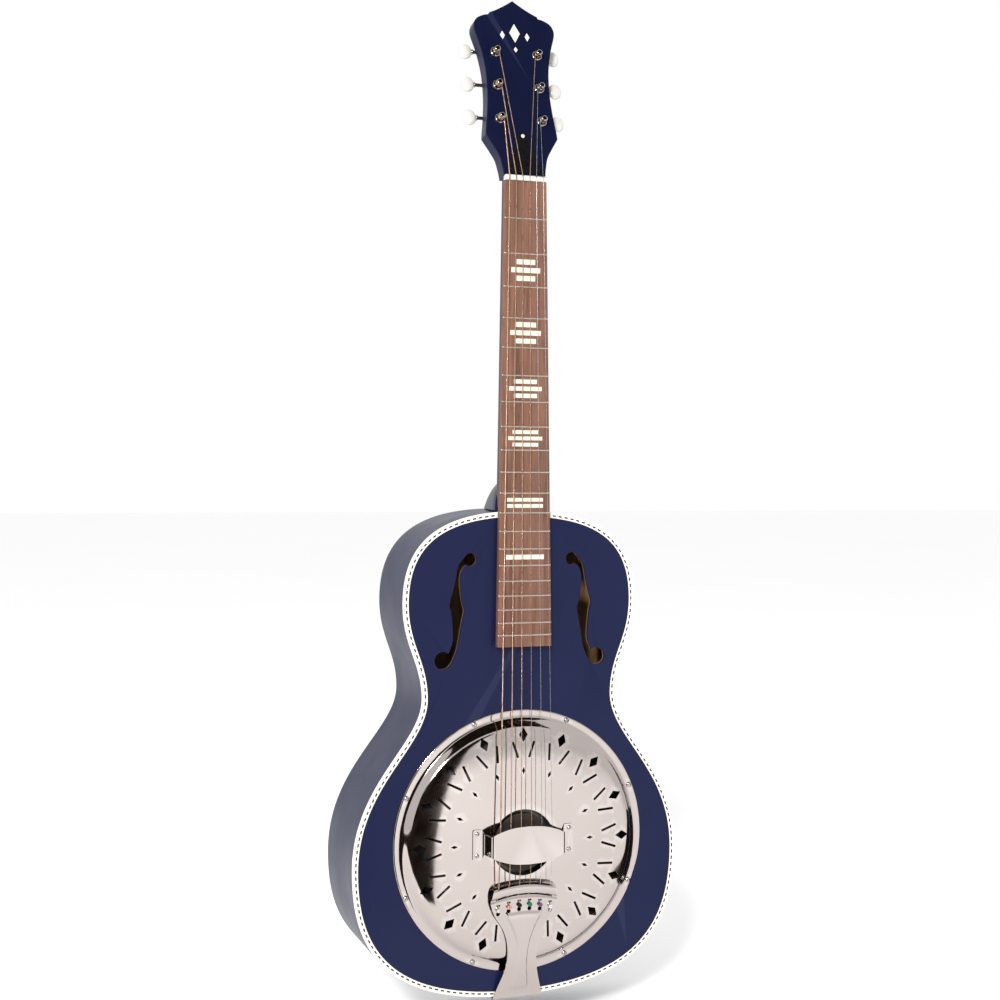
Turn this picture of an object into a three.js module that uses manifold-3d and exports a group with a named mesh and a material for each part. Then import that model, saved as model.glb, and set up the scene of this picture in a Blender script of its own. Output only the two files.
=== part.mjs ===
// A resonator guitar: a hollow wooden body, a spun aluminium cone under a perforated cover plate,
// a tilted neck with twenty frets, six strings and two rows of worm-geared tuners.
// Millimetres. +Z runs up the neck, +Y to the back and +X to the treble side.
// The origin is on the centre plane, at the nut's front edge in Z and at the soundboard's face in Y.
import * as THREE from "three";
import { mergeVertices } from "three/addons/utils/BufferGeometryUtils.js";
import Module from "manifold-3d";

const gap = 0.3; // between neighbouring pieces
const degree = Math.PI / 180;

// Scale and frets
const scaleLength = 645.16; // 25.4 in
const jointFret = 12;
const fretCount = 20;
const fretZ = (fret) => -scaleLength * (1 - 2 ** (-fret / 12));
const jointZ = fretZ(jointFret);
const boardEndZ = fretZ(fretCount + 1);

// Body
const bodyTopZ = -321;
const bodyBottomZ = -799.5;
const upperBout = { half: 120.5, z: -409.9 };
const waist = { half: 100.7, z: -502.9 };
const lowerBout = { half: 168.7, z: -663.7 };
const neckEndDepth = 84;
const tailEndDepth = 109;
const backTilt = Math.atan((tailEndDepth - neckEndDepth) / (bodyTopZ - bodyBottomZ));
const soundboardThickness = 4;
const backThickness = 4;
const rimThickness = 3.2;
const liningInset = 9;
const liningDepth = 14;
const bindingWidth = 3;
const bindingDepth = 6;
const neckBlock = { halfWidth: 34, endZ: -388 };
const tailBlock = { halfWidth: 36, endZ: -776 };

// Resonator
const coneZ = -scaleLength;
const coneRadius = 120.6; // 9.5 in across
const coverRadius = 129.2;
const coverScrewCircle = 125.9;
const coverScrewCount = 8;
const coverHoleRadius = 32.5;
const coverRays = 16;
const wellRadius = 121.6;
const wellOuterRadius = 130.5;
const wellLedgeRadius = 113;
const biscuitRadius = 28.5;
const saddleTopY = -20.2;

// Neck, in the neck's own frame: its y is 0 on the fingerboard's face
const neckTilt = 1 * degree;
const headTilt = 12 * degree;
const neckFaceY = -2.57; // in the part's frame, at the nut
const boardThickness = 6;
const nutHalfWidth = 21.5;
const boardEndHalfWidth = 27.9;
const neckTopY = boardThickness + gap;
const fretHeight = 1;
const fretHalfWidth = 1.1;
const nutEndZ = 6;
const headFaceY = 3;
const headThickness = 15;

// Tuners, in the headstock's own frame: its y is 0 on the headstock's face, its z is 0 at the nut
const postX = 21.9;
const tunerPitch = 35;
const firstPostZ = 57.8;
const tunerRows = 3;
const postRadius = 3;
const postTipY = -9.5;
const stringOnPostY = -4.5;
const plateThickness = 1;
const gearTeeth = 14;
const gearModule = 0.8;
const gearPitchRadius = (gearTeeth * gearModule) / 2;
const wormPitchRadius = 2.6;
const wormLead = Math.PI * gearModule;
const toothHeight = 0.65;
const toothRoot = 0.85;
const toothWidth = 0.85;
const gearThickness = 2.6;
const wormY = 20.2;
const shaftRadius = 1.8;
const buttonInnerX = 39.3;
const buttonLength = 13.4;
const buttonHalfHeight = 8;
const buttonFlatness = 0.45;

// Strings, from the lowest to the highest
const stringRadii = [0.66, 0.53, 0.41, 0.3, 0.22, 0.17];
const nutStringHalfSpread = 17.4;
const saddleStringHalfSpread = 27;
const nutSlotY = -1.2;

// ---------------------------------------------------------------- solids

const wasm = await Module();
wasm.setup();

function solid(geometry) {
  const bare = new THREE.BufferGeometry();
  bare.setAttribute("position", geometry.getAttribute("position"));
  bare.setIndex(geometry.getIndex());
  const merged = mergeVertices(bare, 1e-4);
  const vertProperties = merged.getAttribute("position").array;
  const triVerts = new Uint32Array(merged.getIndex().array);
  return new wasm.Manifold(new wasm.Mesh({ numProp: 3, vertProperties, triVerts }));
}

function geometryOf(body) {
  const { vertProperties, triVerts } = body.getMesh();
  const geometry = new THREE.BufferGeometry();
  geometry.setAttribute("position", new THREE.BufferAttribute(vertProperties, 3));
  geometry.setIndex(new THREE.BufferAttribute(triVerts, 1));
  return geometry;
}

function joined(...geometries) {
  return geometryOf(geometries.map(solid).reduce((whole, next) => whole.add(next)));
}

function cut(geometry, ...cutters) {
  return geometryOf(cutters.map(solid).reduce((whole, next) => whole.subtract(next), solid(geometry)));
}

function common(a, b) {
  return geometryOf(solid(a).intersect(solid(b)));
}

// The same surface with its faces pointing out.
function facingOut(geometry) {
  if (solid(geometry).volume() > 0) return geometry;
  const faces = geometry.getIndex().array;
  for (let i = 0; i < faces.length; i += 3) [faces[i + 1], faces[i + 2]] = [faces[i + 2], faces[i + 1]];
  return geometry;
}

// A skin through rings of the same number of points, closed at both ends.
function loft(rings) {
  const sides = rings[0].length;
  const last = (rings.length - 1) * sides;
  const faces = [];
  for (let start = 0; start < last; start += sides)
    for (let side = 0; side < sides; side++) {
      const a = start + side;
      const b = start + ((side + 1) % sides);
      faces.push(a, b, b + sides, a, b + sides, a + sides);
    }
  for (let side = 1; side < sides - 1; side++) {
    faces.push(0, side + 1, side);
    faces.push(last, last + side, last + side + 1);
  }
  const geometry = new THREE.BufferGeometry().setFromPoints(rings.flat());
  geometry.setIndex(faces);
  return facingOut(geometry);
}

// A flat piece drawn in x and z, between two depths.
function plate(shape, front, back) {
  const options = { depth: back - front, bevelEnabled: false };
  return new THREE.ExtrudeGeometry(shape, options).rotateX(Math.PI / 2).translate(0, back, 0);
}

// A piece turned round the Y axis from a profile of [radius, y].
function turned(profile, segments) {
  const points = profile.map(([radius, y]) => new THREE.Vector2(radius, y));
  return facingOut(new THREE.LatheGeometry(points, segments));
}

function box(x, y, z) {
  const geometry = new THREE.BoxGeometry(x[1] - x[0], y[1] - y[0], z[1] - z[0]);
  return geometry.translate((x[0] + x[1]) / 2, (y[0] + y[1]) / 2, (z[0] + z[1]) / 2);
}

function rod(radius, from, to, sides) {
  return new THREE.CylinderGeometry(radius, radius, to - from, sides).translate(0, (from + to) / 2, 0);
}

const vectors = (points) => points.map(([x, z]) => new THREE.Vector2(x, z));

// A shape symmetric about x = 0, from its half from bottom to top.
function mirrored(half) {
  const right = vectors(half);
  const left = vectors(half).reverse().map((point) => new THREE.Vector2(-point.x, point.y));
  return new THREE.Shape([...right, ...left.filter((point) => point.x < 0)]);
}

// ---------------------------------------------------------------- scene

const guitar = new THREE.Group();
const neckFrame = new THREE.Group();
neckFrame.position.y = neckFaceY;
neckFrame.rotation.x = -neckTilt;
const headFrame = new THREE.Group();
headFrame.position.set(0, headFaceY, nutEndZ);
headFrame.rotation.x = -headTilt;
neckFrame.add(headFrame);
guitar.add(neckFrame);
guitar.updateMatrixWorld(true);

const material = (color, roughness, metalness) =>
  new THREE.MeshStandardMaterial({ color, roughness, metalness });
const bluePaint = material(0x20254a, 0.45, 0);
const rawWood = material(0xb08a5c, 0.8, 0);
const cream = material(0xeee6d0, 0.4, 0);
const rosewood = material(0x8a5a45, 0.6, 0);
const bone = material(0xf2eee2, 0.4, 0);
const nickel = material(0xd8cfc9, 0.15, 1);
const aluminium = material(0xc9ccd0, 0.35, 1);
const steel = material(0xc8c8cc, 0.3, 1);
const bronze = material(0xb98552, 0.35, 1);
const ivory = material(0xe9e6dd, 0.35, 0);
const blackPlastic = material(0x101012, 0.3, 0);
const maple = material(0xd9b98a, 0.6, 0);

function add(name, geometry, finish, parent = guitar) {
  const mesh = new THREE.Mesh(geometry, finish);
  mesh.name = name;
  parent.add(mesh);
  return mesh;
}

// ---------------------------------------------------------------- body outline

const curvePoints = 8; // points on each of the outline's four curves

// Half of the body's outline: shoulder, upper bout to waist, waist to lower bout, tail.
function bodyHalf() {
  const half = new THREE.Path();
  half.moveTo(0, bodyTopZ);
  half.bezierCurveTo(88, bodyTopZ, upperBout.half, upperBout.z + 57, upperBout.half, upperBout.z);
  half.bezierCurveTo(upperBout.half, upperBout.z - 41, waist.half, waist.z + 36, waist.half, waist.z);
  half.bezierCurveTo(waist.half, waist.z - 43, lowerBout.half, lowerBout.z + 83, lowerBout.half, lowerBout.z);
  half.bezierCurveTo(lowerBout.half, lowerBout.z - 65, 147, bodyBottomZ, 0, bodyBottomZ);
  return half.getPoints(curvePoints);
}

function bodyOutline() {
  const right = bodyHalf().reverse();
  const left = bodyHalf().slice(1, -1).map((point) => new THREE.Vector2(-point.x, point.y));
  return [...right, ...left];
}

function inset(points, distance) {
  return points.map((point, i) => {
    const before = points.at(i - 1);
    const after = points[(i + 1) % points.length];
    const along = after.clone().sub(before).normalize();
    return new THREE.Vector2(point.x - along.y * distance, point.y + along.x * distance);
  });
}

const outline = bodyOutline();
const bodyPlate = (distance, front, back) =>
  plate(new THREE.Shape(inset(outline, distance)), front, back);

function bodyRing(outer, inner, front, back) {
  const shape = new THREE.Shape(inset(outline, outer));
  shape.holes.push(new THREE.Path(inset(outline, inner)));
  return plate(shape, front, back);
}

// Everything behind a plane parallel to the back's outer face, moved along Y.
function behindBack(offset) {
  const space = box([-250, 250], [0, 200], [-600, 100]).rotateX(backTilt);
  return space.translate(0, neckEndDepth + offset, bodyTopZ);
}

const insideBackY = -backThickness - gap;
const deepest = tailEndDepth + 10;
const atCone = (geometry) => geometry.translate(0, 0, coneZ);

// ---------------------------------------------------------------- body pieces

const fHoleEyes = [
  { x: 52.9, z: -368.3, radius: 6.3 },
  { x: 80.1, z: -465.8, radius: 8.5 },
];

// The stem of an f-hole on the treble side, between its two eyes.
function fHoleStem() {
  const outerUpper = [[57, -364], [65, -374], [68.5, -391], [74.3, -412.5]];
  const outerLower = [[72, -419], [70.4, -436], [70.7, -449], [76, -462]];
  const innerLower = [[72, -470], [65.9, -455.4], [62, -434], [58.7, -418.1]];
  const innerUpper = [[61.4, -408], [63.3, -390], [61, -378], [54, -371]];
  const edges = [outerUpper, outerLower, innerLower, innerUpper];
  const smooth = edges.map((edge) => new THREE.SplineCurve(vectors(edge)).getPoints(5));
  return smooth.flat();
}

function fHoleCutters(side) {
  const stem = fHoleStem().map((point) => new THREE.Vector2(side * point.x, point.y));
  const eyes = fHoleEyes.map(({ x, z, radius }) => rod(radius, -5, 10, 16).translate(side * x, 0, z));
  return [facingOut(plate(new THREE.Shape(stem), -5, 10)), ...eyes];
}

function coverScrewPlaces() {
  return Array.from({ length: coverScrewCount }, (_, i) => {
    const angle = ((i + 0.5) * 2 * Math.PI) / coverScrewCount;
    return [coverScrewCircle * Math.cos(angle), coneZ + coverScrewCircle * Math.sin(angle)];
  });
}

const coverScrewHoles = (from, to) =>
  coverScrewPlaces().map(([x, z]) => rod(1.6, from, to, 6).translate(x, 0, z));

function soundboard() {
  const board = bodyPlate(bindingWidth + gap, 0, soundboardThickness);
  const well = atCone(rod(wellRadius, -5, 10, 48));
  return cut(board, well, ...fHoleCutters(1), ...fHoleCutters(-1), ...coverScrewHoles(-5, 10));
}

const tenon = { halfWidth: 12, front: 18, back: 70, length: 24 };

function neckSocket() {
  const x = tenon.halfWidth + gap;
  return box([-x, x], [tenon.front - gap, tenon.back + gap], [bodyTopZ - tenon.length - gap, bodyTopZ + 5]);
}

const pinY = 42;
const pinHole = () => rod(3.7, -830, -760, 16).rotateX(Math.PI / 2).translate(0, pinY, 0);

function rim() {
  const wall = bodyRing(0, rimThickness, bindingDepth + gap, deepest);
  const lining = bodyRing(rimThickness - 0.5, liningInset, bindingDepth + gap, liningDepth);
  const shelf = bodyRing(bindingWidth + gap, liningInset, soundboardThickness + gap, liningDepth);
  return cut(joined(wall, lining, shelf), behindBack(insideBackY), neckSocket(), pinHole());
}

function back() {
  const slab = common(bodyPlate(0, neckEndDepth - 20, deepest), behindBack(-backThickness));
  return cut(slab, behindBack(0));
}

// A block that fills the body's end behind the lining.
function endBlock(halfWidth, z) {
  const behindLining = bodyPlate(rimThickness + gap, liningDepth + gap, deepest);
  const insideLining = bodyPlate(liningInset + gap, soundboardThickness + gap, liningDepth + 1);
  const whole = common(joined(behindLining, insideLining), box([-halfWidth, halfWidth], [0, deepest], z));
  return cut(whole, behindBack(insideBackY));
}

add("soundboard", soundboard(), bluePaint);
add("rim", rim(), bluePaint);
add("back", back(), bluePaint);
add("binding", bodyRing(0, bindingWidth, 0, bindingDepth), cream);
add("neck_block", cut(endBlock(neckBlock.halfWidth, [neckBlock.endZ, bodyTopZ]), neckSocket()), rawWood);
add("tail_block", cut(endBlock(tailBlock.halfWidth, [bodyBottomZ, tailBlock.endZ]), pinHole()), rawWood);

function soundwell() {
  const ledgeY = 14;
  const profile = [
    [wellRadius, soundboardThickness + gap],
    [wellOuterRadius, soundboardThickness + gap],
    [wellOuterRadius, ledgeY + 10],
    [wellLedgeRadius, ledgeY + 10],
    [wellLedgeRadius, ledgeY],
    [wellRadius, ledgeY],
    [wellRadius, soundboardThickness + gap],
  ];
  return cut(atCone(turned(profile, 40)), ...coverScrewHoles(0, 12));
}

add("soundwell", soundwell(), rawWood);

// ---------------------------------------------------------------- resonator

// A sheet of even thickness round the Y axis: its front profile, and the same moved back.
function spunSheet(front, thickness, segments) {
  const rear = front.map(([radius, y]) => [radius, y + thickness]).reverse();
  const profile = [...front, ...rear];
  return turned(front[0][0] === 0 ? profile : [...profile, front[0]], segments);
}

const sheetThickness = { cone: 0.8, cover: 1.2 };
const coneFront = [
  [0, -2.6], [30, -2.6], [33, -1.8], [106, 11.8], [108.3, 14], [110.3, 14], [112.2, 12.7], [coneRadius, 12.7],
];
const coverFront = [
  [coverHoleRadius, -11], [80, -9.6], [110, -8.6], [114, -7.5], [117.2, -5.2], [120, -2.5],
  [123, -1.5], [coverRadius, -1.5],
];

function onRay(x, angle) {
  const outward = [x * Math.cos(angle), 0, x * Math.sin(angle)];
  return (geometry) => atCone(geometry.rotateY(-angle).translate(...outward));
}

// A prism with its long side along X, through the cover plate.
function rhombus(length, width) {
  const corners = [[length / 2, 0], [0, width / 2], [-length / 2, 0], [0, -width / 2]];
  return plate(new THREE.Shape(vectors(corners)), -20, 5);
}

function coverCutters() {
  const bigDiamond = { radius: 105.6, length: 14.4, width: 9 };
  const smallDiamond = { radius: 70.5, length: 7.5, width: 3.2 };
  const slot = { radius: 91.5, length: 16.7, width: 2.4, aside: 5.3 * degree, tilt: 14 * degree };
  const cutters = [];
  for (let ray = 0; ray < coverRays; ray++) {
    const angle = (ray * 2 * Math.PI) / coverRays;
    for (const { radius, length, width } of [bigDiamond, smallDiamond])
      cutters.push(onRay(radius, angle)(rhombus(length, width)));
    for (const side of [-1, 1]) {
      const slit = box([-slot.length / 2, slot.length / 2], [-20, 5], [-slot.width / 2, slot.width / 2]);
      cutters.push(onRay(slot.radius, angle + side * slot.aside)(slit.rotateY(-side * slot.tilt)));
    }
  }
  return cutters;
}

function coverplate() {
  const sheet = atCone(spunSheet(coverFront, sheetThickness.cover, 48));
  return cut(sheet, ...coverCutters(), ...coverScrewHoles(-5, 5));
}

function handrest() {
  const top = -27.5;
  const foot = -11.3;
  const thickness = 1.6;
  const front = [[0, top], [37.5, top], [39.5, top + 2], [41, foot - thickness], [52.5, foot - thickness]];
  const rear = [[52.5, foot], [39.7, foot], [38, top + 2.6], [36.9, top + thickness], [0, top + thickness]];
  const arch = mirrored([...front, ...rear]);
  const hat = new THREE.ExtrudeGeometry(arch, { depth: 60, bevelEnabled: false }).translate(0, 0, -30);
  const plan = mirrored([
    [0, -18.7], [16, -17.6], [30, -13.8], [38, -10], [41, -10], [42.5, -15.5], [52, -15.5],
    [52, 14.5], [42.5, 14.5], [41, 9.6], [38, 9.6], [30, 13.4], [16, 17.2], [0, 18.3],
  ]);
  return common(hat, plate(plan, -40, 0)).translate(0, 0, coneZ + 1);
}

const biscuitFrontY = -9.2;
const saddleSlot = { halfLength: 27.4, halfThickness: 1.8, y: -6.6 };

function biscuit() {
  const disc = atCone(rod(biscuitRadius, biscuitFrontY, -2.9, 40));
  const x = saddleSlot.halfLength + gap;
  const z = saddleSlot.halfThickness + gap;
  return cut(disc, box([-x, x], [-20, saddleSlot.y + gap], [coneZ - z, coneZ + z]));
}

function saddle() {
  const { halfLength, halfThickness, y } = saddleSlot;
  const ends = [halfLength, -halfLength];
  const top = (x, z) => new THREE.Vector3(x, saddleTopY, z);
  return loft(
    ends.map((x) => [
      new THREE.Vector3(x, y, coneZ - halfThickness),
      new THREE.Vector3(x, y, coneZ + halfThickness),
      top(x, coneZ + halfThickness),
      top(x, coneZ - halfThickness),
    ]),
  );
}

add("cone", atCone(spunSheet(coneFront, sheetThickness.cone, 36)), aluminium);
add("biscuit", biscuit(), maple);
add("saddle", saddle(), maple);
add("coverplate", coverplate(), nickel);
add("handrest", handrest(), nickel);

function coverScrew() {
  const head = [[0, -3.1], [1.3, -2.9], [2.5, -1.8], [1.1, -1.8], [1.1, 11.5], [0, 11.5]];
  return turned(head, 8);
}

coverScrewPlaces().forEach(([x, z], i) => {
  add(`cover_screw_${i + 1}`, coverScrew().translate(x, 0, z), nickel);
});

// ---------------------------------------------------------------- tailpiece and end pin

const tailpieceThickness = 1.4;
const footY = 60;
const stringBallZ = -708;
const keyholeEndZ = -699.5;

// The tailpiece's sheet from its lip to its foot: z and y of the sheet's middle, and half its width.
const tailpieceStations = [
  { z: -682.5, y: -13, half: 27 },
  { z: -685, y: -16.4, half: 31 },
  { z: -690.5, y: -17.4, half: 33.6 },
  { z: -695.5, y: -15.2, half: 34.4 },
  { z: -704, y: -14.8, half: 32.4 },
  { z: -712, y: -14.3, half: 29.6 },
  { z: -720, y: -13.7, half: 25.6 },
  { z: -731, y: -12.9, half: 20 },
  { z: -742, y: -12.1, half: 16.4 },
  { z: -755, y: -11.2, half: 15 },
  { z: -766, y: -10, half: 16 },
  { z: -776, y: -7.8, half: 18.3 },
  { z: -786.5, y: -4.9, half: 21.6 },
  { z: -797, y: -2.3, half: 24.6 },
  { z: -800, y: -1.3, half: 24.9 },
  { z: -801, y: 1.6, half: 24.9 },
  { z: -801, y: footY, half: 19 },
];

function stringX(string, halfSpread) {
  return halfSpread * ((2 * string) / (stringRadii.length - 1) - 1);
}

function tailpiece() {
  const path = tailpieceStations.map(({ y, z }) => new THREE.Vector2(y, z));
  const rings = tailpieceStations.map(({ half }, i) => {
    const before = path[Math.max(i - 1, 0)];
    const after = path[Math.min(i + 1, path.length - 1)];
    const along = after.clone().sub(before).normalize();
    const across = new THREE.Vector2(-along.y, along.x).multiplyScalar(tailpieceThickness / 2);
    const corner = (x, side) =>
      new THREE.Vector3(x, path[i].x + side * across.x, path[i].y + side * across.y);
    return [corner(-half, 1), corner(half, 1), corner(half, -1), corner(-half, -1)];
  });
  const keyholes = stringRadii.map((_, string) => {
    const x = stringX(string, saddleStringHalfSpread);
    const eyelet = rod(2.1, -20, -10, 10).translate(x, 0, stringBallZ);
    return joined(eyelet, box([x - 1.1, x + 1.1], [-20, -10], [stringBallZ, keyholeEndZ]));
  });
  return cut(loft(rings), ...keyholes, pinHole());
}

function endPin() {
  const shank = [[0, tailBlock.endZ - 0.5], [3.2, tailBlock.endZ - 0.5], [3.4, -801.9]];
  const head = [[6, -802], [6.6, -804], [5, -806.5], [6.8, -809.5], [5.4, -812], [0, -812.4]];
  const profile = [...shank, ...head];
  return turned(profile, 12).rotateX(Math.PI / 2).translate(0, pinY, 0);
}

add("tailpiece", tailpiece(), nickel);
add("end_pin", endPin(), blackPlastic);

// ---------------------------------------------------------------- neck

const boardHalfWidth = (z) =>
  nutHalfWidth + ((boardEndHalfWidth - nutHalfWidth) * z) / boardEndZ;

// The plan of the neck under the fingerboard, between two heights.
function boardPlan(low, high) {
  return mirrored([[0, low], [boardHalfWidth(low), low], [boardHalfWidth(high), high], [0, high]]);
}

// One D-shaped section of the neck's shaft: flat at the front, rounded at the back.
function shaftSection(z, depth) {
  const steps = 10;
  return Array.from({ length: steps + 1 }, (_, i) => {
    const angle = (i / steps) * Math.PI;
    const out = Math.sign(Math.cos(angle)) * Math.abs(Math.cos(angle)) ** 0.85;
    return new THREE.Vector3(boardHalfWidth(z) * out, neckTopY + depth * Math.sin(angle) ** 0.8, z);
  });
}

function shaft() {
  const sections = [[20, 13.5], [0, 14.5], [-120, 15.5], [-240, 17], [-290, 18.5], [jointZ + 1, 19]];
  return loft(sections.map(([z, depth]) => shaftSection(z, depth)));
}

const headHalf = [
  [0, 0], [21.5, 0], [23, 10], [25.2, 19.5], [30, 28.5], [37.4, 40.5], [37, 45.5], [34.6, 63], [32.8, 84],
  [33, 106], [34.9, 122], [38.2, 137], [41.9, 150], [42.2, 157], [39, 162.6], [32, 166.6], [26.2, 168],
  [24.6, 170.6], [17.5, 173.8], [7.5, 179.7], [0, 184.8],
];

const tunerPlaces = [];
for (const side of [-1, 1])
  for (let row = 0; row < tunerRows; row++)
    tunerPlaces.push({ side, x: side * postX, z: firstPostZ + row * tunerPitch });

function headstock() {
  const posts = tunerPlaces.map(({ x, z }) => rod(4.7, -5, headThickness + 5, 12).translate(x, 0, z));
  return cut(plate(mirrored(headHalf), 0, headThickness), ...posts);
}

// The heel's depth stations in the part's frame: y, half width at the body, reach up the neck.
const heelStations = [
  { y: 4, half: 27, reach: 41 },
  { y: 12, half: 26.6, reach: 40 },
  { y: 22, half: 25, reach: 37 },
  { y: 36, half: 22.5, reach: 32 },
  { y: 52, half: 19, reach: 26.5 },
  { y: 62, half: 17, reach: 20 },
  { y: 69, half: 15.5, reach: 13 },
  { y: 73.5, half: 14.5, reach: 7 },
  { y: 76, half: 13.5, reach: 3 },
];

function heel() {
  const steps = 10;
  const rings = heelStations.map(({ y, half, reach }) =>
    Array.from({ length: steps + 1 }, (_, i) => {
      const angle = (i / steps) * Math.PI;
      const out = Math.sin(angle) ** 0.9;
      return new THREE.Vector3(half * Math.cos(angle), y, bodyTopZ - 3 + (reach + 3) * out);
    }),
  );
  return loft(rings);
}

function tenonBlock() {
  const { halfWidth, front, back: rear, length } = tenon;
  return box([-halfWidth, halfWidth], [front, rear], [bodyTopZ - length, bodyTopZ + 4]);
}

const rodChannel = () =>
  joined(
    box([-3.4, 3.4], [neckTopY - 1, neckTopY + 7], [-312, 20]),
    box([-4.2, 4.2], [-8, neckTopY + 7.8], [nutEndZ + 4, nutEndZ + 30]),
  );

function neck() {
  const inPart = (geometry, frame) => geometry.applyMatrix4(frame.matrixWorld);
  const tongue = plate(boardPlan(boardEndZ, jointZ + 5), neckTopY, neckTopY + 10);
  const blank = joined(
    inPart(shaft(), neckFrame),
    inPart(headstock(), headFrame),
    inPart(tongue, neckFrame),
    heel(),
  );
  const clearOfBody = cut(blank, bodyPlate(-gap, -gap, deepest));
  const nutSlot = box([-60, 60], [-10, neckTopY], [-1, nutEndZ]);
  const cutters = [inPart(rodChannel(), neckFrame), inPart(nutSlot, neckFrame)];
  return cut(joined(clearOfBody, tenonBlock()), ...cutters);
}

function fingerboard() {
  const board = plate(boardPlan(boardEndZ, 0), 0, boardThickness);
  const frets = Array.from({ length: fretCount }, (_, i) => {
    const z = fretZ(i + 1);
    const half = boardHalfWidth(z) - 0.4;
    return box([-half, half], [-fretHeight, 1], [z - fretHalfWidth, z + fretHalfWidth]);
  });
  return joined(board, ...frets);
}

function nut() {
  const block = box([-nutHalfWidth, nutHalfWidth], [-2.6, boardThickness], [gap, nutEndZ - gap]);
  const slots = stringRadii.map((radius, string) => {
    const x = stringX(string, nutStringHalfSpread);
    const half = radius + 0.35;
    return box([x - half, x + half], [-10, nutSlotY], [-5, nutEndZ + 5]);
  });
  return cut(block, ...slots);
}

function trussRodCover() {
  const half = [[0, 1.5], [18, 1.5], [17.4, 7], [12.4, 15], [8.4, 26], [5.6, 38], [3, 43], [0, 44.5]];
  return plate(mirrored(half), -2.3, -gap);
}

function trussRod() {
  const turnedZ = (radius, from, to, sides) => rod(radius, from, to, sides).rotateX(Math.PI / 2);
  const shank = turnedZ(2.9, -311, 12, 8);
  const hexagon = turnedZ(3.6, 11, 21, 6);
  return joined(shank, hexagon).translate(0, neckTopY + 3.7, 0);
}

add("neck", neck(), bluePaint);
add("fingerboard", fingerboard(), rosewood, neckFrame);
add("nut", nut(), bone, neckFrame);
add("truss_rod_cover", trussRodCover(), blackPlastic, headFrame);
add("truss_rod", trussRod(), steel, neckFrame);

// ---------------------------------------------------------------- tuners

const wormZ = (place) => place.z + gearPitchRadius + wormPitchRadius;
const gearFrontY = wormY - gearThickness / 2;

function bushing() {
  const bore = 3.2;
  const flange = [[bore, -1.6], [4.6, -1.6], [5.1, -gap], [4.2, -gap]];
  return turned([...flange, [4.2, 6], [bore, 6], [bore, -1.6]], 12);
}

// The gear's outline, with one tooth towards +Z.
function gearShape() {
  const outer = gearPitchRadius + toothHeight;
  const root = gearPitchRadius - toothRoot;
  const points = [];
  for (let tooth = 0; tooth < gearTeeth; tooth++) {
    const middle = Math.PI / 2 + (tooth * 2 * Math.PI) / gearTeeth;
    const corners = [[root, -0.75], [outer, -0.3], [outer, 0.3], [root, 0.75]];
    for (const [radius, share] of corners) {
      const angle = middle + (share * toothWidth) / radius;
      points.push([radius * Math.cos(angle), radius * Math.sin(angle)]);
    }
  }
  return new THREE.Shape(vectors(points));
}

function post() {
  const waistRadius = 2.5;
  const profile = [
    [0, postTipY],
    [postRadius, postTipY + 0.4],
    [waistRadius, postTipY + 3],
    [waistRadius, postTipY + 7],
    [postRadius, postTipY + 9],
    [postRadius, gearFrontY + 1],
    [0, gearFrontY + 1],
  ];
  const gear = plate(gearShape(), gearFrontY, gearFrontY + gearThickness);
  const screwHead = rod(3.4, gearFrontY + gearThickness - 0.5, gearFrontY + gearThickness + 1.6, 8);
  return joined(turned(profile, 10), gear, screwHead);
}

// A worm round the X axis, left-handed, with the gear's tooth between two turns at x = 0.
function worm() {
  const turns = 3;
  const stepsPerTurn = 8;
  const root = wormPitchRadius - toothRoot;
  const outer = wormPitchRadius + toothHeight;
  const rings = [];
  for (let step = 0; step <= turns * stepsPerTurn; step++) {
    const turn = step / stepsPerTurn - turns / 2;
    const angle = turn * 2 * Math.PI;
    const facingGear = turn * wormLead;
    const section = [[root - 0.4, -0.75], [outer, -0.3], [outer, 0.3], [root - 0.4, 0.75]];
    rings.push(
      section.map(([radius, share]) => {
        const x = facingGear + share * toothWidth;
        return new THREE.Vector3(x, radius * Math.sin(angle), radius * Math.cos(angle));
      }),
    );
  }
  return loft(rings);
}

function wormShaft(side) {
  const along = (radius, from, to, sides) => rod(radius, from, to, sides).rotateZ(-Math.PI / 2);
  const inner = -7;
  const outer = buttonInnerX - postX;
  const core = along(shaftRadius, inner, outer, 8);
  const tang = along(1.3, outer - 1, outer + 5, 6);
  const shaftAlone = joined(core, tang);
  if (side < 0) shaftAlone.rotateY(Math.PI);
  return joined(shaftAlone, worm());
}

function button() {
  const inner = [[0, 0], [2.6, 0], [5, 1], [7.2, 3.4]];
  const outer = [[buttonHalfHeight, 7], [7, 10.6], [4.2, 12.8], [0, buttonLength]];
  const blank = turned([...inner, ...outer], 12).rotateZ(-Math.PI / 2).scale(1, buttonFlatness, 1);
  const hole = rod(1.7, -2, 5.4, 6).rotateZ(-Math.PI / 2);
  return cut(facingOut(blank), hole);
}

function tunerPlate(side) {
  const low = firstPostZ - 9.5;
  const high = firstPostZ + (tunerRows - 1) * tunerPitch + 17;
  const front = headThickness + gap;
  const rear = front + plateThickness;
  const strip = box([postX - 9.4, postX + 9.2], [front, rear], [low, high]);
  const ears = [];
  const holes = [];
  tunerPlaces
    .filter((place) => place.side > 0)
    .forEach((place) => {
      const z = wormZ(place);
      for (const x of [postX - 6.6, postX + 5.4])
        ears.push(box([x, x + 1.2], [rear - 0.5, wormY + 3.6], [z - 3.6, z + 3.6]));
      holes.push(rod(shaftRadius + 0.25, 0, 60, 8).rotateZ(-Math.PI / 2).translate(0, wormY, z));
      holes.push(rod(postRadius + 0.5, 0, 60, 8).translate(place.x, 0, place.z));
    });
  const whole = cut(joined(strip, ...ears), ...holes);
  return side > 0 ? whole : facingOut(whole.scale(-1, 1, 1));
}

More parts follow.
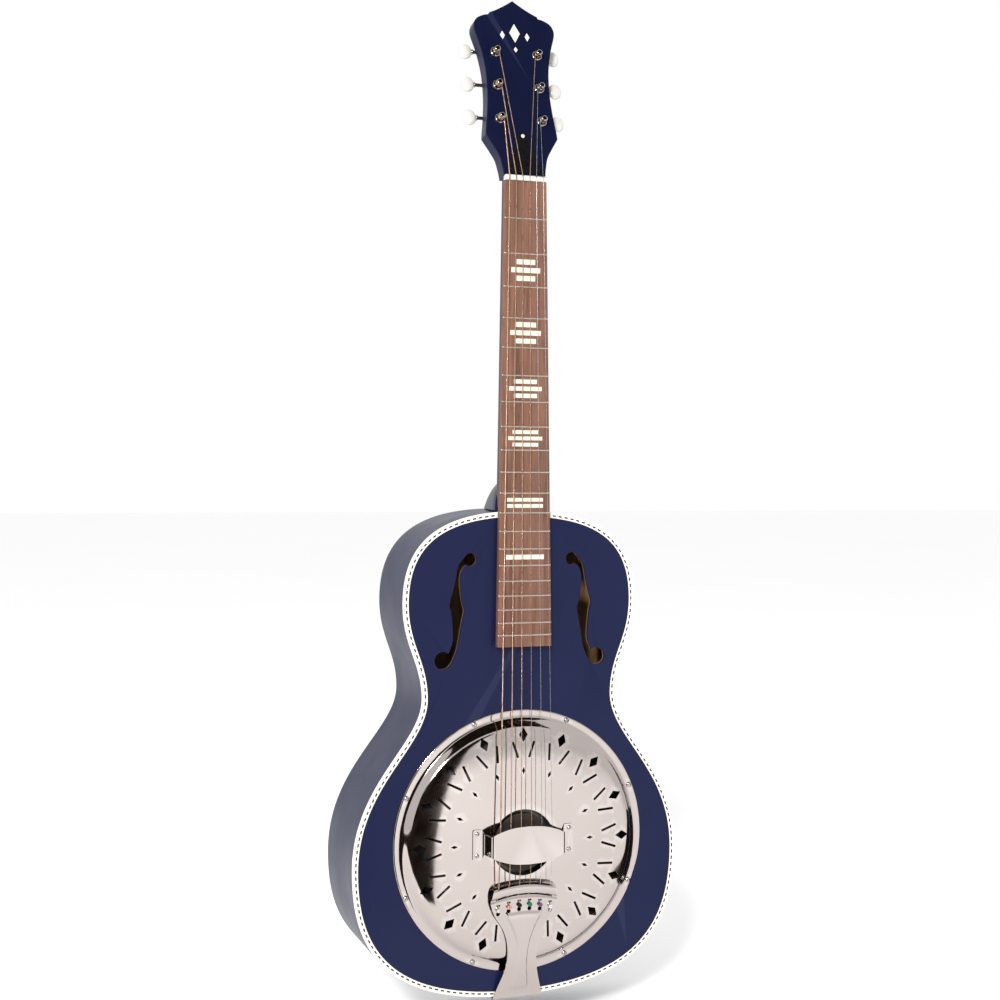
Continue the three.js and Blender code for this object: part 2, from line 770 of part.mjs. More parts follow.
add("tuner_plate_bass", tunerPlate(-1), nickel, headFrame);
add("tuner_plate_treble", tunerPlate(1), nickel, headFrame);

tunerPlaces.forEach((place, i) => {
  const { side, x, z } = place;
  const number = (i % tunerRows) + 1;
  const name = `${side < 0 ? "bass" : "treble"}_${number}`;
  add(`bushing_${name}`, bushing(), nickel, headFrame).position.set(x, 0, z);
  add(`post_${name}`, post(), nickel, headFrame).position.set(x, 0, z);
  add(`worm_shaft_${name}`, wormShaft(side), steel, headFrame).position.set(x, wormY, wormZ(place));
  const handle = add(`button_${name}`, button(), ivory, headFrame);
  handle.position.set(side * (buttonInnerX + gap), wormY, wormZ(place));
  if (side < 0) handle.rotation.y = Math.PI;
});

// ---------------------------------------------------------------- strings

// A thin round bar through points, turning sharply at each.
function strand(points, radius) {
  const sides = 6;
  const rings = points.map((point, i) => {
    const before = points[Math.max(i - 1, 0)];
    const after = points[Math.min(i + 1, points.length - 1)];
    const along = after.clone().sub(before).normalize();
    const across = new THREE.Vector3(1, 0, 0).cross(along).normalize();
    const up = along.clone().cross(across);
    return Array.from({ length: sides }, (_, side) => {
      const angle = (side / sides) * 2 * Math.PI;
      const offset = across.clone().multiplyScalar(radius * Math.cos(angle));
      return offset.addScaledVector(up, radius * Math.sin(angle)).add(point);
    });
  });
  return loft(rings);
}

// The post that each string winds on: the low strings rise up the bass row, the high ones fall.
function postOf(string) {
  return string < tunerRows ? tunerPlaces[string] : tunerPlaces[3 * tunerRows - 1 - string];
}

function stringRoute(string) {
  const radius = stringRadii[string];
  const nutX = stringX(string, nutStringHalfSpread);
  const saddleX = stringX(string, saddleStringHalfSpread);
  const nutY = nutSlotY - gap - radius;
  const { side, z } = postOf(string);
  const inNeck = (x, y, height) => new THREE.Vector3(x, y, height).applyMatrix4(neckFrame.matrixWorld);
  const onPost = new THREE.Vector3(side * (postX - postRadius - radius - 0.4), stringOnPostY, z);
  return [
    new THREE.Vector3(saddleX, -14.6, stringBallZ - 1),
    new THREE.Vector3(saddleX, -18.8 - radius, -692),
    new THREE.Vector3(saddleX, saddleTopY - gap - radius, coneZ - 1),
    new THREE.Vector3(saddleX, saddleTopY - gap - radius, coneZ + 1),
    inNeck(nutX, nutY, 0.5),
    inNeck(nutX, nutY, nutEndZ - 0.5),
    onPost.applyMatrix4(headFrame.matrixWorld),
  ];
}

const notes = ["6_low_e", "5_a", "4_d", "3_g", "2_b", "1_high_e"];
const woundStrings = 4;
notes.forEach((note, string) => {
  const finish = string < woundStrings ? bronze : steel;
  add(`string_${note}`, strand(stringRoute(string), stringRadii[string]), finish);
});

export default guitar;
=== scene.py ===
"""A resonator guitar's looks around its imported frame: lacquer, nickel, wood, strings and tuners.

Shapes are written in millimetres in the part's frame: +Z up the neck, +Y to the back, +X to the
treble side. The neck and the headstock have frames of their own, tilted back from the body's.
"""

import math

import bmesh
import bpy
from mathutils import Matrix, Vector


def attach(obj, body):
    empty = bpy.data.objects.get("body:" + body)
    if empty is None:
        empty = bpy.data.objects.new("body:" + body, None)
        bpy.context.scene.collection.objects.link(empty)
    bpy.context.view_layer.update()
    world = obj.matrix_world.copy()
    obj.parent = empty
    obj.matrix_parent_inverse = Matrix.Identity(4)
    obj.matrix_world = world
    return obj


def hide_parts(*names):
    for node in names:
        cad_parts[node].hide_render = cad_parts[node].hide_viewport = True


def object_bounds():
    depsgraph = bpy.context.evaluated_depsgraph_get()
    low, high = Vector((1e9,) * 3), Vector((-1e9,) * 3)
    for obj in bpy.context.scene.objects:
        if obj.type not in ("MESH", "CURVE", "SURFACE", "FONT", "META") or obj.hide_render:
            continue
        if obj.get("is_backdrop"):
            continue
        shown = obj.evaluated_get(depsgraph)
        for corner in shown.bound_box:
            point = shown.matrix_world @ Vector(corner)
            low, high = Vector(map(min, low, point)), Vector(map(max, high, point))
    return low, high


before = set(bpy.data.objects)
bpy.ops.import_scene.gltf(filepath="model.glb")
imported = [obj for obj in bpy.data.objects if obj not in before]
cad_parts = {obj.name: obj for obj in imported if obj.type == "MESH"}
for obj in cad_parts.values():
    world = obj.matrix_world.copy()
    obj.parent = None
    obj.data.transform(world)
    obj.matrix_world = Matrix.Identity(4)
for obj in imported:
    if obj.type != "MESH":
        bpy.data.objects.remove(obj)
cad_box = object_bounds()

MM = 0.001
scene = bpy.context.scene

# ---------------------------------------------------------------- driving dimensions, in mm

SCALE_LENGTH = 645.16
FRET_COUNT = 20
BODY_TOP_Z = -321.0
BODY_BOTTOM_Z = -799.5
UPPER_BOUT = (120.5, -409.9)
WAIST = (100.7, -502.9)
LOWER_BOUT = (168.7, -663.7)
NECK_END_DEPTH = 84.0
TAIL_END_DEPTH = 109.0
BACK_SLOPE = (TAIL_END_DEPTH - NECK_END_DEPTH) / (BODY_TOP_Z - BODY_BOTTOM_Z)
CONE_Z = -SCALE_LENGTH
COVER_SCREW_CIRCLE = 125.9
BOARD_THICKNESS = 6.0
NUT_HALF_WIDTH = 21.5
BOARD_END_HALF_WIDTH = 27.9
NECK_TOP_Y = 6.3
SADDLE_TOP_Y = -20.2
STRING_RADII = [0.66, 0.53, 0.41, 0.3, 0.22, 0.17]
NUT_SPREAD = 17.4
SADDLE_SPREAD = 27.0
NUT_SLOT_Y = -1.2
POST_X = 21.9
FIRST_POST_Z = 57.8
TUNER_PITCH = 35.0
TUNER_ROWS = 3
STRING_ON_POST_Y = -3.6
POST_HOLE_Y = -6.0
WORM_Y = 20.2
WORM_OFFSET = 8.2
BUTTON_X = 39.6
PIN_Y = 42.0
HEAD_THICKNESS = 15.0

PART = Matrix.Identity(4)
NECK = Matrix.Translation((0, -2.57, 0)) @ Matrix.Rotation(math.radians(-1), 4, "X")
HEAD = NECK @ Matrix.Translation((0, 3, 6)) @ Matrix.Rotation(math.radians(-12), 4, "X")
CONE = Matrix.Translation((0, 0, CONE_Z))


def fret_z(fret):
    return -SCALE_LENGTH * (1 - 2 ** (-fret / 12))


BOARD_END_Z = fret_z(FRET_COUNT + 1)


def board_half_width(z):
    return NUT_HALF_WIDTH + (BOARD_END_HALF_WIDTH - NUT_HALF_WIDTH) * z / BOARD_END_Z


def string_x(string, spread):
    return spread * (2 * string / (len(STRING_RADII) - 1) - 1)


# ---------------------------------------------------------------- materials


def node_tree(name):
    made = bpy.data.materials.new(name)
    made.use_nodes = True
    nodes, links = made.node_tree.nodes, made.node_tree.links
    return made, nodes, links, nodes["Principled BSDF"]


def coordinates(nodes, links, stretch=(1, 1, 1), offset=(0, 0, 0)):
    place = nodes.new("ShaderNodeTexCoord")
    mapping = nodes.new("ShaderNodeMapping")
    mapping.inputs["Scale"].default_value = stretch
    mapping.inputs["Location"].default_value = offset
    links.new(place.outputs["Object"], mapping.inputs["Vector"])
    return mapping.outputs["Vector"]


def noise(nodes, links, vector, scale, detail=4.0, distortion=0.0):
    node = nodes.new("ShaderNodeTexNoise")
    node.inputs["Scale"].default_value = scale
    node.inputs["Detail"].default_value = detail
    node.inputs["Distortion"].default_value = distortion
    links.new(vector, node.inputs["Vector"])
    return node.outputs["Fac"]


def ramp(nodes, links, value, stops):
    node = nodes.new("ShaderNodeValToRGB")
    elements = node.color_ramp.elements
    while len(elements) < len(stops):
        elements.new(0.5)
    for element, (position, colour) in zip(elements, stops):
        element.position = position
        element.color = (*colour, 1)
    links.new(value, node.inputs["Fac"])
    return node.outputs["Color"]


def spread(nodes, links, value, low, high, start=0.3, end=0.7):
    node = nodes.new("ShaderNodeMapRange")
    node.inputs["From Min"].default_value = start
    node.inputs["From Max"].default_value = end
    node.inputs["To Min"].default_value = low
    node.inputs["To Max"].default_value = high
    links.new(value, node.inputs["Value"])
    return node.outputs["Result"]


def bump(nodes, links, shader, height, strength, distance):
    node = nodes.new("ShaderNodeBump")
    node.inputs["Strength"].default_value = strength
    node.inputs["Distance"].default_value = distance
    links.new(height, node.inputs["Height"])
    links.new(node.outputs["Normal"], shader.inputs["Normal"])


def wave(nodes, links, vector, kind, direction, scale, distortion=0.0, detail=2.0):
    node = nodes.new("ShaderNodeTexWave")
    node.wave_type = kind
    if kind == "BANDS":
        node.bands_direction = direction
    else:
        node.rings_direction = direction
    node.inputs["Scale"].default_value = scale
    node.inputs["Distortion"].default_value = distortion
    node.inputs["Detail"].default_value = detail
    links.new(vector, node.inputs["Vector"])
    return node.outputs["Fac"]


def shade(colour, factor):
    return tuple(min(1.0, channel * factor) for channel in colour)


def wear_and_edge_highlight(nodes, links, colour, wear_and_highlight_colour, amount):
    """The colour, mixed towards a lighter colour where the surface turns sharply outwards: rubbed wear
    together with a painted edge highlight.
    """
    geometry = nodes.new("ShaderNodeNewGeometry")
    edge = spread(nodes, links, geometry.outputs["Pointiness"], 0.0, amount, 0.52, 0.6)
    mix = nodes.new("ShaderNodeMix")
    mix.data_type = "RGBA"
    links.new(edge, mix.inputs["Factor"])
    links.new(colour, mix.inputs["A"])
    mix.inputs["B"].default_value = (*wear_and_highlight_colour, 1)
    return mix.outputs["Result"]


def mottled(
    name, colour, roughness, metallic=0.0, vary=0.12, scale=40.0, rough_vary=0.05,
    bump_scale=900.0, bump_strength=0.05, specular=0.5, stretch=(1, 1, 1), edge=None, coat=0.0,
):
    """A finish with cloudy colour and roughness and a fine bump."""
    made, nodes, links, shader = node_tree(name)
    vector = coordinates(nodes, links, stretch)
    cloud = noise(nodes, links, vector, scale)
    stops = [(0.3, shade(colour, 1 - vary)), (0.7, shade(colour, 1 + vary))]
    tone = ramp(nodes, links, cloud, stops)
    # edge: a lighter colour at sharp edges, for rubbed wear and a painted edge highlight
    if edge:
        tone = wear_and_edge_highlight(nodes, links, tone, edge, 0.5)
    links.new(tone, shader.inputs["Base Color"])
    patches = noise(nodes, links, vector, scale * 3)
    rough = spread(nodes, links, patches, roughness - rough_vary, roughness + rough_vary)
    links.new(rough, shader.inputs["Roughness"])
    shader.inputs["Metallic"].default_value = metallic
    shader.inputs["Specular IOR Level"].default_value = specular
    shader.inputs["Coat Weight"].default_value = coat
    grain = noise(nodes, links, vector, bump_scale, 2.0)
    bump(nodes, links, shader, grain, bump_strength, 0.0002)
    return made


def wooden(name, dark, light, roughness, grain_scale=26.0, along=(1, 1, 0.06), pores=0.25):
    """Straight-grained wood: stretched bands, fine streaks and pores."""
    made, nodes, links, shader = node_tree(name)
    vector = coordinates(nodes, links, along)
    bands = noise(nodes, links, vector, grain_scale * 6, 8.0, 0.6)
    middle = tuple((a + b) / 2 for a, b in zip(dark, light))
    tone = ramp(nodes, links, bands, [(0.3, dark), (0.5, middle), (0.72, light)])
    streaks = noise(nodes, links, vector, grain_scale * 40, 3.0)
    pore = ramp(nodes, links, streaks, [(0.36, shade(dark, 0.7)), (0.5, (1, 1, 1))])
    mix = nodes.new("ShaderNodeMix")
    mix.data_type = "RGBA"
    mix.blend_type = "MULTIPLY"
    mix.inputs["Factor"].default_value = pores
    links.new(tone, mix.inputs["A"])
    links.new(pore, mix.inputs["B"])
    links.new(mix.outputs["Result"], shader.inputs["Base Color"])
    rough = spread(nodes, links, streaks, roughness + 0.08, roughness - 0.06)
    links.new(rough, shader.inputs["Roughness"])
    shader.inputs["Specular IOR Level"].default_value = 0.35
    bump(nodes, links, shader, streaks, 0.25, 0.0002)
    return made


def spun_metal(name, colour, roughness):
    """Aluminium with the fine rings that spinning leaves round the cone's axis."""
    made, nodes, links, shader = node_tree(name)
    vector = coordinates(nodes, links, offset=(0, 0, -CONE_Z * MM))
    rings = wave(nodes, links, vector, "RINGS", "Y", 260.0, 0.4)
    stops = [(0.0, shade(colour, 0.85)), (1.0, colour)]
    links.new(ramp(nodes, links, rings, stops), shader.inputs["Base Color"])
    rough = spread(nodes, links, rings, roughness, roughness + 0.1, 0.0, 1.0)
    links.new(rough, shader.inputs["Roughness"])
    shader.inputs["Metallic"].default_value = 1.0
    bump(nodes, links, shader, rings, 0.15, 0.0002)
    return made


def wound_metal(name, colour, pitch):
    """A wrapped string: bands across its length, one for each turn of the wrap, darker between the turns as
    painted shade in the grooves.
    """
    made, nodes, links, shader = node_tree(name)
    vector = coordinates(nodes, links)
    turns = wave(nodes, links, vector, "BANDS", "Z", math.pi / (10 * pitch * MM))
    # Dark bands between turns: painted shade in the grooves of the wrap.
    stops = [(0.15, shade(colour, 0.35)), (0.6, colour)]
    links.new(ramp(nodes, links, turns, stops), shader.inputs["Base Color"])
    age = noise(nodes, links, vector, 90.0)
    links.new(spread(nodes, links, age, 0.22, 0.42), shader.inputs["Roughness"])
    shader.inputs["Metallic"].default_value = 1.0
    bump(nodes, links, shader, turns, 0.4, 0.0001)
    return made


# Lighter lacquer at sharp edges: rubbed wear together with a painted highlight where the edges catch the
# light.
LACQUER_WEAR_AND_HIGHLIGHT = (0.02, 0.024, 0.06)
lacquer = mottled(
    "navy_lacquer", (0.0022, 0.0046, 0.032), 0.34, vary=0.08, scale=7.0, rough_vary=0.04,
    bump_scale=420.0, bump_strength=0.05, specular=0.17, edge=LACQUER_WEAR_AND_HIGHLIGHT,
)
head_lacquer = mottled(
    "headstock_lacquer", (0.0009, 0.0022, 0.015), 0.22, vary=0.08, scale=9.0, rough_vary=0.03,
    bump_scale=420.0, bump_strength=0.03, specular=0.12, edge=LACQUER_WEAR_AND_HIGHLIGHT,
)
cream = mottled(
    "cream_binding", (0.66, 0.63, 0.56), 0.34, vary=0.06, scale=30.0, bump_strength=0.03,
)
# Black for the checker's dark blocks, and also for the two black strips of painted shade along the edge.
checker_and_painted_shade_black = mottled("purfling_and_painted_shade_black", (0.004, 0.004, 0.006), 0.4, vary=0.2, scale=60.0)
checker_white = mottled("purfling_white", (0.66, 0.65, 0.61), 0.4, vary=0.05, scale=60.0)
rosewood = wooden("rosewood", (0.1, 0.042, 0.026), (0.2, 0.094, 0.06), 0.52)
bare_wood = wooden("bare_wood", (0.2, 0.105, 0.045), (0.36, 0.21, 0.1), 0.7, 18.0)
# Near-black maple for the biscuit: painted shade where it lies under the handrest.
maple_in_painted_shade = wooden("maple_in_painted_shade", (0.014, 0.009, 0.007), (0.034, 0.022, 0.016), 0.6, 20.0, (0.06, 1, 1))
maple = wooden("maple", (0.42, 0.25, 0.13), (0.6, 0.4, 0.23), 0.6, 20.0, (0.06, 1, 1))
# The nickel's lighter edge colour is rubbed wear together with a painted edge highlight.
nickel = mottled(
    "nickel_plate", (0.48, 0.427, 0.408), 0.07, 1.0, vary=0.02, scale=24.0, rough_vary=0.02,
    bump_scale=30.0, bump_strength=0.02, edge=(0.62, 0.57, 0.55),
)
satin_nickel = mottled(
    "satin_nickel", (0.46, 0.43, 0.41), 0.2, 1.0, vary=0.06, scale=60.0, bump_scale=700.0,
    bump_strength=0.04,
)
fret_metal = mottled(
    "fret_metal", (0.6, 0.52, 0.47), 0.4, 1.0, vary=0.04, scale=60.0, bump_strength=0.0,
)
steel = mottled(
    "steel", (0.6, 0.6, 0.61), 0.25, 1.0, vary=0.08, scale=150.0, bump_strength=0.05,
)
dark_steel = mottled(
    "shaft_steel", (0.16, 0.15, 0.14), 0.3, 1.0, vary=0.15, scale=150.0, bump_strength=0.08,
)
# Aluminium darkened to near black: painted shade for the cone lying in shadow inside the body.
aluminium = spun_metal("spun_aluminium", (0.15, 0.15, 0.155), 0.4)
pearl = mottled(
    "inlay_pearl", (0.56, 0.54, 0.46), 0.3, vary=0.1, scale=220.0, rough_vary=0.06,
    bump_strength=0.02, coat=0.2,
)
bone = mottled("bone", (0.56, 0.53, 0.47), 0.42, vary=0.05, scale=150.0, bump_strength=0.08)
ivory = mottled(
    "button_ivory", (0.5, 0.49, 0.46), 0.26, vary=0.05, scale=110.0, bump_strength=0.02, coat=0.3,
)
black_plastic = mottled(
    "black_plastic", (0.004, 0.004, 0.005), 0.3, vary=0.2, scale=90.0, bump_strength=0.03,
    specular=0.12,
)
wraps = [wound_metal(f"wound_{i + 1}", (0.62, 0.42, 0.29), r * 0.55) for i, r in enumerate(STRING_RADII)]
floor_finish = mottled("floor_white", (0.96, 0.96, 0.96), 0.8, vary=0.005, scale=2.0, specular=0.1)
card_black = mottled("card_black", (0.012, 0.009, 0.007), 0.9, vary=0.9, scale=5.0, specular=0.0)


# ---------------------------------------------------------------- shapes: (vertices, faces) in mm


def lathe(profile, segments=64, closed=False):
    """A profile of (radius, y) turned round the Y axis."""
    points, faces, rings = [], [], []
    for radius, y in profile:
        if radius == 0:
            rings.append([len(points)] * segments)
            points.append((0, y, 0))
            continue
        rings.append(list(range(len(points), len(points) + segments)))
        for i in range(segments):
            angle = 2 * math.pi * i / segments
            points.append((radius * math.cos(angle), y, radius * math.sin(angle)))
    following = rings[1:] + (rings[:1] if closed else [])
    for near, far in zip(rings, following):
        for i in range(segments):
            j = (i + 1) % segments
            faces.append(tuple(dict.fromkeys((near[i], near[j], far[j], far[i]))))
    return points, faces


def rod(radius, low, high, segments):
    """A round bar along the Y axis."""
    return lathe([(0, low), (radius, low), (radius, high), (0, high)], segments)


def loft(rings, looped=False, caps=True):
    """A skin through rings of equally many points, closed by a flat face at each end."""
    sides = len(rings[0])
    points = [point for ring in rings for point in ring]
    starts = [i * sides for i in range(len(rings))]
    faces = []
    for near, far in zip(starts, starts[1:] + (starts[:1] if looped else [])):
        for i in range(sides):
            j = (i + 1) % sides
            faces.append((near + i, near + j, far + j, far + i))
    if caps and not looped:
        faces.append(tuple(range(sides)))
        faces.append(tuple(range(starts[-1], starts[-1] + sides)))
    return points, faces


def prism(outline, front, back):
    """A plan of (x, z) points between two depths."""
    return loft([[(x, y, z) for x, z in outline] for y in (front, back)])


def block(x, y, z):
    return prism([(x[0], z[0]), (x[1], z[0]), (x[1], z[1]), (x[0], z[1])], *y)


def merged(*shapes):
    points, faces = [], []
    for more_points, more_faces in shapes:
        base = len(points)
        points.extend(more_points)
        faces.extend(tuple(base + i for i in face) for face in more_faces)
    return points, faces


def moved(shape, matrix):
    points, faces = shape
    return [tuple(matrix @ Vector(point)) for point in points], faces


def shift(x, y, z):
    return Matrix.Translation((x, y, z))


def spin(angle, axis):
    return Matrix.Rotation(math.radians(angle), 4, axis)


def smooth_through(points, steps=6):
    """A Catmull-Rom curve through the points, of any number of coordinates, ends included."""
    ends = [points[0], *points, points[-1]]
    curve = []
    for i in range(1, len(ends) - 2):
        before, start, end, after = ends[i - 1 : i + 3]
        for step in range(steps):
            t = step / steps
            curve.append(
                tuple(
                    0.5 * (2 * b + (c - a) * t + (2 * a - 5 * b + 4 * c - d) * t**2
                           + (3 * b - a - 3 * c + d) * t**3)
                    for a, b, c, d in zip(before, start, end, after)
                )
            )
    curve.append(tuple(points[-1]))
    return curve


def mesh_object(name, shape, place=PART):
    points, faces = shape
    mesh = bpy.data.meshes.new(name)
    mesh.from_pydata([place @ Vector(point) * MM for point in points], [], faces)
    builder = bmesh.new()
    builder.from_mesh(mesh)
    bmesh.ops.recalc_face_normals(builder, faces=builder.faces)
    builder.to_mesh(mesh)
    builder.free()
    made = bpy.data.objects.new(name, mesh)
    scene.collection.objects.link(made)
    return made


def bake_modifiers(made):
    graph = bpy.context.evaluated_depsgraph_get()
    result = bpy.data.meshes.new_from_object(made.evaluated_get(graph))
    old = made.data
    made.modifiers.clear()
    made.data = result
    bpy.data.meshes.remove(old)


def carve(made, shapes, place=PART, operation="DIFFERENCE"):
    for shape in shapes:
        tool = mesh_object("tool", shape, place)
        modifier = made.modifiers.new("carve", "BOOLEAN")
        modifier.operation = operation
        modifier.solver = "EXACT"
        modifier.object = tool
        bpy.context.view_layer.update()
        bake_modifiers(made)
        bpy.data.meshes.remove(tool.data)


def soften(made, width, segments=2, angle=32):
    modifier = made.modifiers.new("edges", "BEVEL")
    modifier.width = width * MM
    modifier.segments = segments
    modifier.limit_method = "ANGLE"
    modifier.angle_limit = math.radians(angle)
    modifier.harden_normals = False
    bake_modifiers(made)


def smooth_flags(made, angle):
    made.data.shade_smooth()
    made.data.set_sharp_from_angle(angle=math.radians(angle))


def shade_smooth(made, angle=35):
    """Smooth shading with sharp corners, where each large flat face keeps its own normal."""
    smooth_flags(made, angle)
    modifier = made.modifiers.new("normals", "WEIGHTED_NORMAL")
    modifier.weight = 100
    modifier.keep_sharp = True
    bake_modifiers(made)


def finished(made, finish, slot, body="guitar", replaces=()):
    made.data.materials.clear()
    made.data.materials.append(finish)
    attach(made, body)
    if replaces:
        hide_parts(*replaces)
    return made


def piece(
    name, shape, finish, slot, place=PART, body="guitar", bevel=0.0, angle=35,
    replaces=(), cutters=(), segments=2,
):
    made = mesh_object(name, shape, place)
    carve(made, cutters, place)
    if bevel:
        soften(made, bevel, segments)
    shade_smooth(made, angle)
    return finished(made, finish, slot, body, replaces)


# ---------------------------------------------------------------- body


def bezier(a, b, c, d, steps):
    points = []
    for i in range(steps):
        t = i / steps
        weights = ((1 - t) ** 3, 3 * t * (1 - t) ** 2, 3 * t * t * (1 - t), t**3)
        points.append(tuple(sum(w * p[k] for w, p in zip(weights, (a, b, c, d))) for k in (0, 1)))
    return points


def body_outline(steps=36):
    """The body's edge as (x, z), from the neck round the treble side to the tail and back."""
    upper, waist, lower = UPPER_BOUT, WAIST, LOWER_BOUT
    top, tail = (0, BODY_TOP_Z), (0, BODY_BOTTOM_Z)
    half = [
        *bezier(top, (88, BODY_TOP_Z), (upper[0], upper[1] + 57), upper, steps),
        *bezier(upper, (upper[0], upper[1] - 41), (waist[0], waist[1] + 36), waist, steps),
        *bezier(waist, (waist[0], waist[1] - 43), (lower[0], lower[1] + 83), lower, steps),
        *bezier(lower, (lower[0], lower[1] - 65), (147, BODY_BOTTOM_Z), tail, steps),
        tail,
    ]
    return half + [(-x, z) for x, z in reversed(half[1:-1])]


def inset(points, distance):
    moved_in = []
    for i, (x, z) in enumerate(points):
        before, after = points[i - 1], points[(i + 1) % len(points)]
        along = Vector((after[0] - before[0], after[1] - before[1])).normalized()
        moved_in.append((x + along.y * distance, z - along.x * distance))
    return moved_in


OUTLINE = body_outline()


def back_y(z, offset=0.0):
    return NECK_END_DEPTH + (BODY_TOP_Z - z) * BACK_SLOPE + offset


def level(y):
    return lambda z: y


def behind(offset):
    return lambda z: back_y(z, offset)


def edge_ring(distance, depth):
    """One turn round the body's edge, at an inset and at a depth that may depend on z."""
    return [(x, depth(z), z) for x, z in inset(OUTLINE, distance)]


def edge_strip(profile):
    """A closed strip round the body's edge from a profile of (inset, depth)."""
    return loft([edge_ring(distance, depth) for distance, depth in profile], looped=True)


def edge_slab(profile):
    return loft([edge_ring(distance, depth) for distance, depth in profile])


def circle(x, z, radius, count=48):
    turn = 2 * math.pi / count
    return [(x + radius * math.cos(i * turn), z + radius * math.sin(i * turn)) for i in range(count)]


F_STEM = [
    [(57, -364), (65, -374), (68.5, -391), (74.3, -412.5)],
    [(72, -419), (70.4, -436), (70.7, -449), (76, -462)],
    [(72, -470), (65.9, -455.4), (62, -434), (58.7, -418.1)],
    [(61.4, -408), (63.3, -390), (61, -378), (54, -371)],
]
F_EYES = [(52.9, -368.3, 6.3), (80.1, -465.8, 8.5)]


def f_hole(side):
    stem = [(side * x, z) for edge in F_STEM for x, z in smooth_through(edge, 6)]
    eyes = [prism(circle(side * x, z, radius, 40), -5, 12) for x, z, radius in F_EYES]
    return [prism(stem, -5, 12), *eyes]


def cover_screw_places():
    for i in range(8):
        angle = math.radians(22.5 + 45 * i)
        yield (
            COVER_SCREW_CIRCLE * math.cos(angle),
            CONE_Z + COVER_SCREW_CIRCLE * math.sin(angle),
            i + 1,
        )


PURFLING_INSET = (2.6, 4.1, 5.5)
PURFLING_DEPTH = 1.5
# Inner edge of the black strip of painted shade inside the purfling, where the soundboard begins.
PAINTED_SHADE_LINE_INSET = 6.1
CHECKER_PERIOD = 6.5
DARK_SHARE = 0.56
BINDING_DEPTH = 2.2
RIM_FRONT_Y = BINDING_DEPTH + 0.6

well_cutter = prism(circle(0, CONE_Z, 121.6, 128), -5, 12)
soundboard_edge = [(PAINTED_SHADE_LINE_INSET, level(0.0)), (PAINTED_SHADE_LINE_INSET, level(2.6))]
soundboard = mesh_object("soundboard_lacquered", edge_slab(soundboard_edge))
carve(soundboard, [well_cutter, *f_hole(1), *f_hole(-1)])
soften(soundboard, 0.35)
shade_smooth(soundboard, 30)
finished(soundboard, lacquer, "blue_lacquer", replaces=["soundboard"])

inner_ply = mesh_object("soundboard_inner_ply", edge_slab([(4, level(2.65)), (4, level(4.0))]))
carve(inner_ply, [well_cutter, *f_hole(1), *f_hole(-1)])
shade_smooth(inner_ply, 30)
finished(inner_ply, bare_wood, "blue_lacquer")

piece(
    "edge_binding",
    edge_strip([
        (PURFLING_INSET[0], level(0.0)), (0.9, level(0.0)), (0.25, level(0.25)),
        (0.0, level(0.9)), (0.0, level(BINDING_DEPTH)), (PURFLING_INSET[0], level(BINDING_DEPTH)),
    ]),
    cream, "binding", angle=50, replaces=["binding"],
)


def edge_line(near, far, front, back):
    """A strip all round the edge, between two insets and two depths: for the inlaid cream line and for the
    black strips of painted shade.
    """
    return edge_strip([(near, level(front)), (near, level(back)), (far, level(back)), (far, level(front))])


piece("purfling_line", edge_line(*PURFLING_INSET[1:], 0.0, PURFLING_DEPTH), cream, "binding", angle=30)


def add_checker():
    """The dashed line inside the binding: dark and light blocks in turn along the edge."""
    lines = [inset(OUTLINE, distance) for distance in (PURFLING_INSET[1], PURFLING_INSET[0])]
    steps = [math.dist(point, OUTLINE[i - 1]) for i, point in enumerate(OUTLINE)]
    whole = sum(steps)
    count = round(whole / CHECKER_PERIOD)
    marks = [(i + part) * whole / count for i in range(count) for part in (0, DARK_SHARE)]
    points, at, passed = [], 0, 0.0
    for mark in marks:
        while passed + steps[(at + 1) % len(OUTLINE)] < mark:
            at += 1
            passed += steps[at % len(OUTLINE)]
        after = (at + 1) % len(OUTLINE)
        t = (mark - passed) / steps[after]
        near, far = (Vector(line[at]).lerp(Vector(line[after]), t) for line in lines)
        points += [(near.x, 0.0, near.y), (far.x, 0.0, far.y), (far.x, PURFLING_DEPTH, far.y),
                   (near.x, PURFLING_DEPTH, near.y)]
    starts = range(0, len(points), 4)
    faces = [
        (near + side, near + (side + 1) % 4, (near + 4) % len(points) + (side + 1) % 4,
         (near + 4) % len(points) + side)
        for near in starts for side in range(4)
    ]
    made = mesh_object("purfling_checker", (points, faces))
    finished(made, checker_white, "binding")
    made.data.materials.append(checker_and_painted_shade_black)
    for face in made.data.polygons:
        face.material_index = (face.index // 4 + 1) % 2
    return made


add_checker()
# A black strip inside the purfling: painted shade along its inner edge.
piece(
    "purfling_painted_shade_line", edge_line(PURFLING_INSET[2], PAINTED_SHADE_LINE_INSET, 0.0, PURFLING_DEPTH),
    checker_and_painted_shade_black, "binding", angle=30,
)
# A black strip between the binding and the side: painted shade in the joint.
piece(
    "binding_joint_painted_shade", edge_line(0.05, PURFLING_INSET[0], BINDING_DEPTH, RIM_FRONT_Y),
    checker_and_painted_shade_black, "binding", angle=50,
)

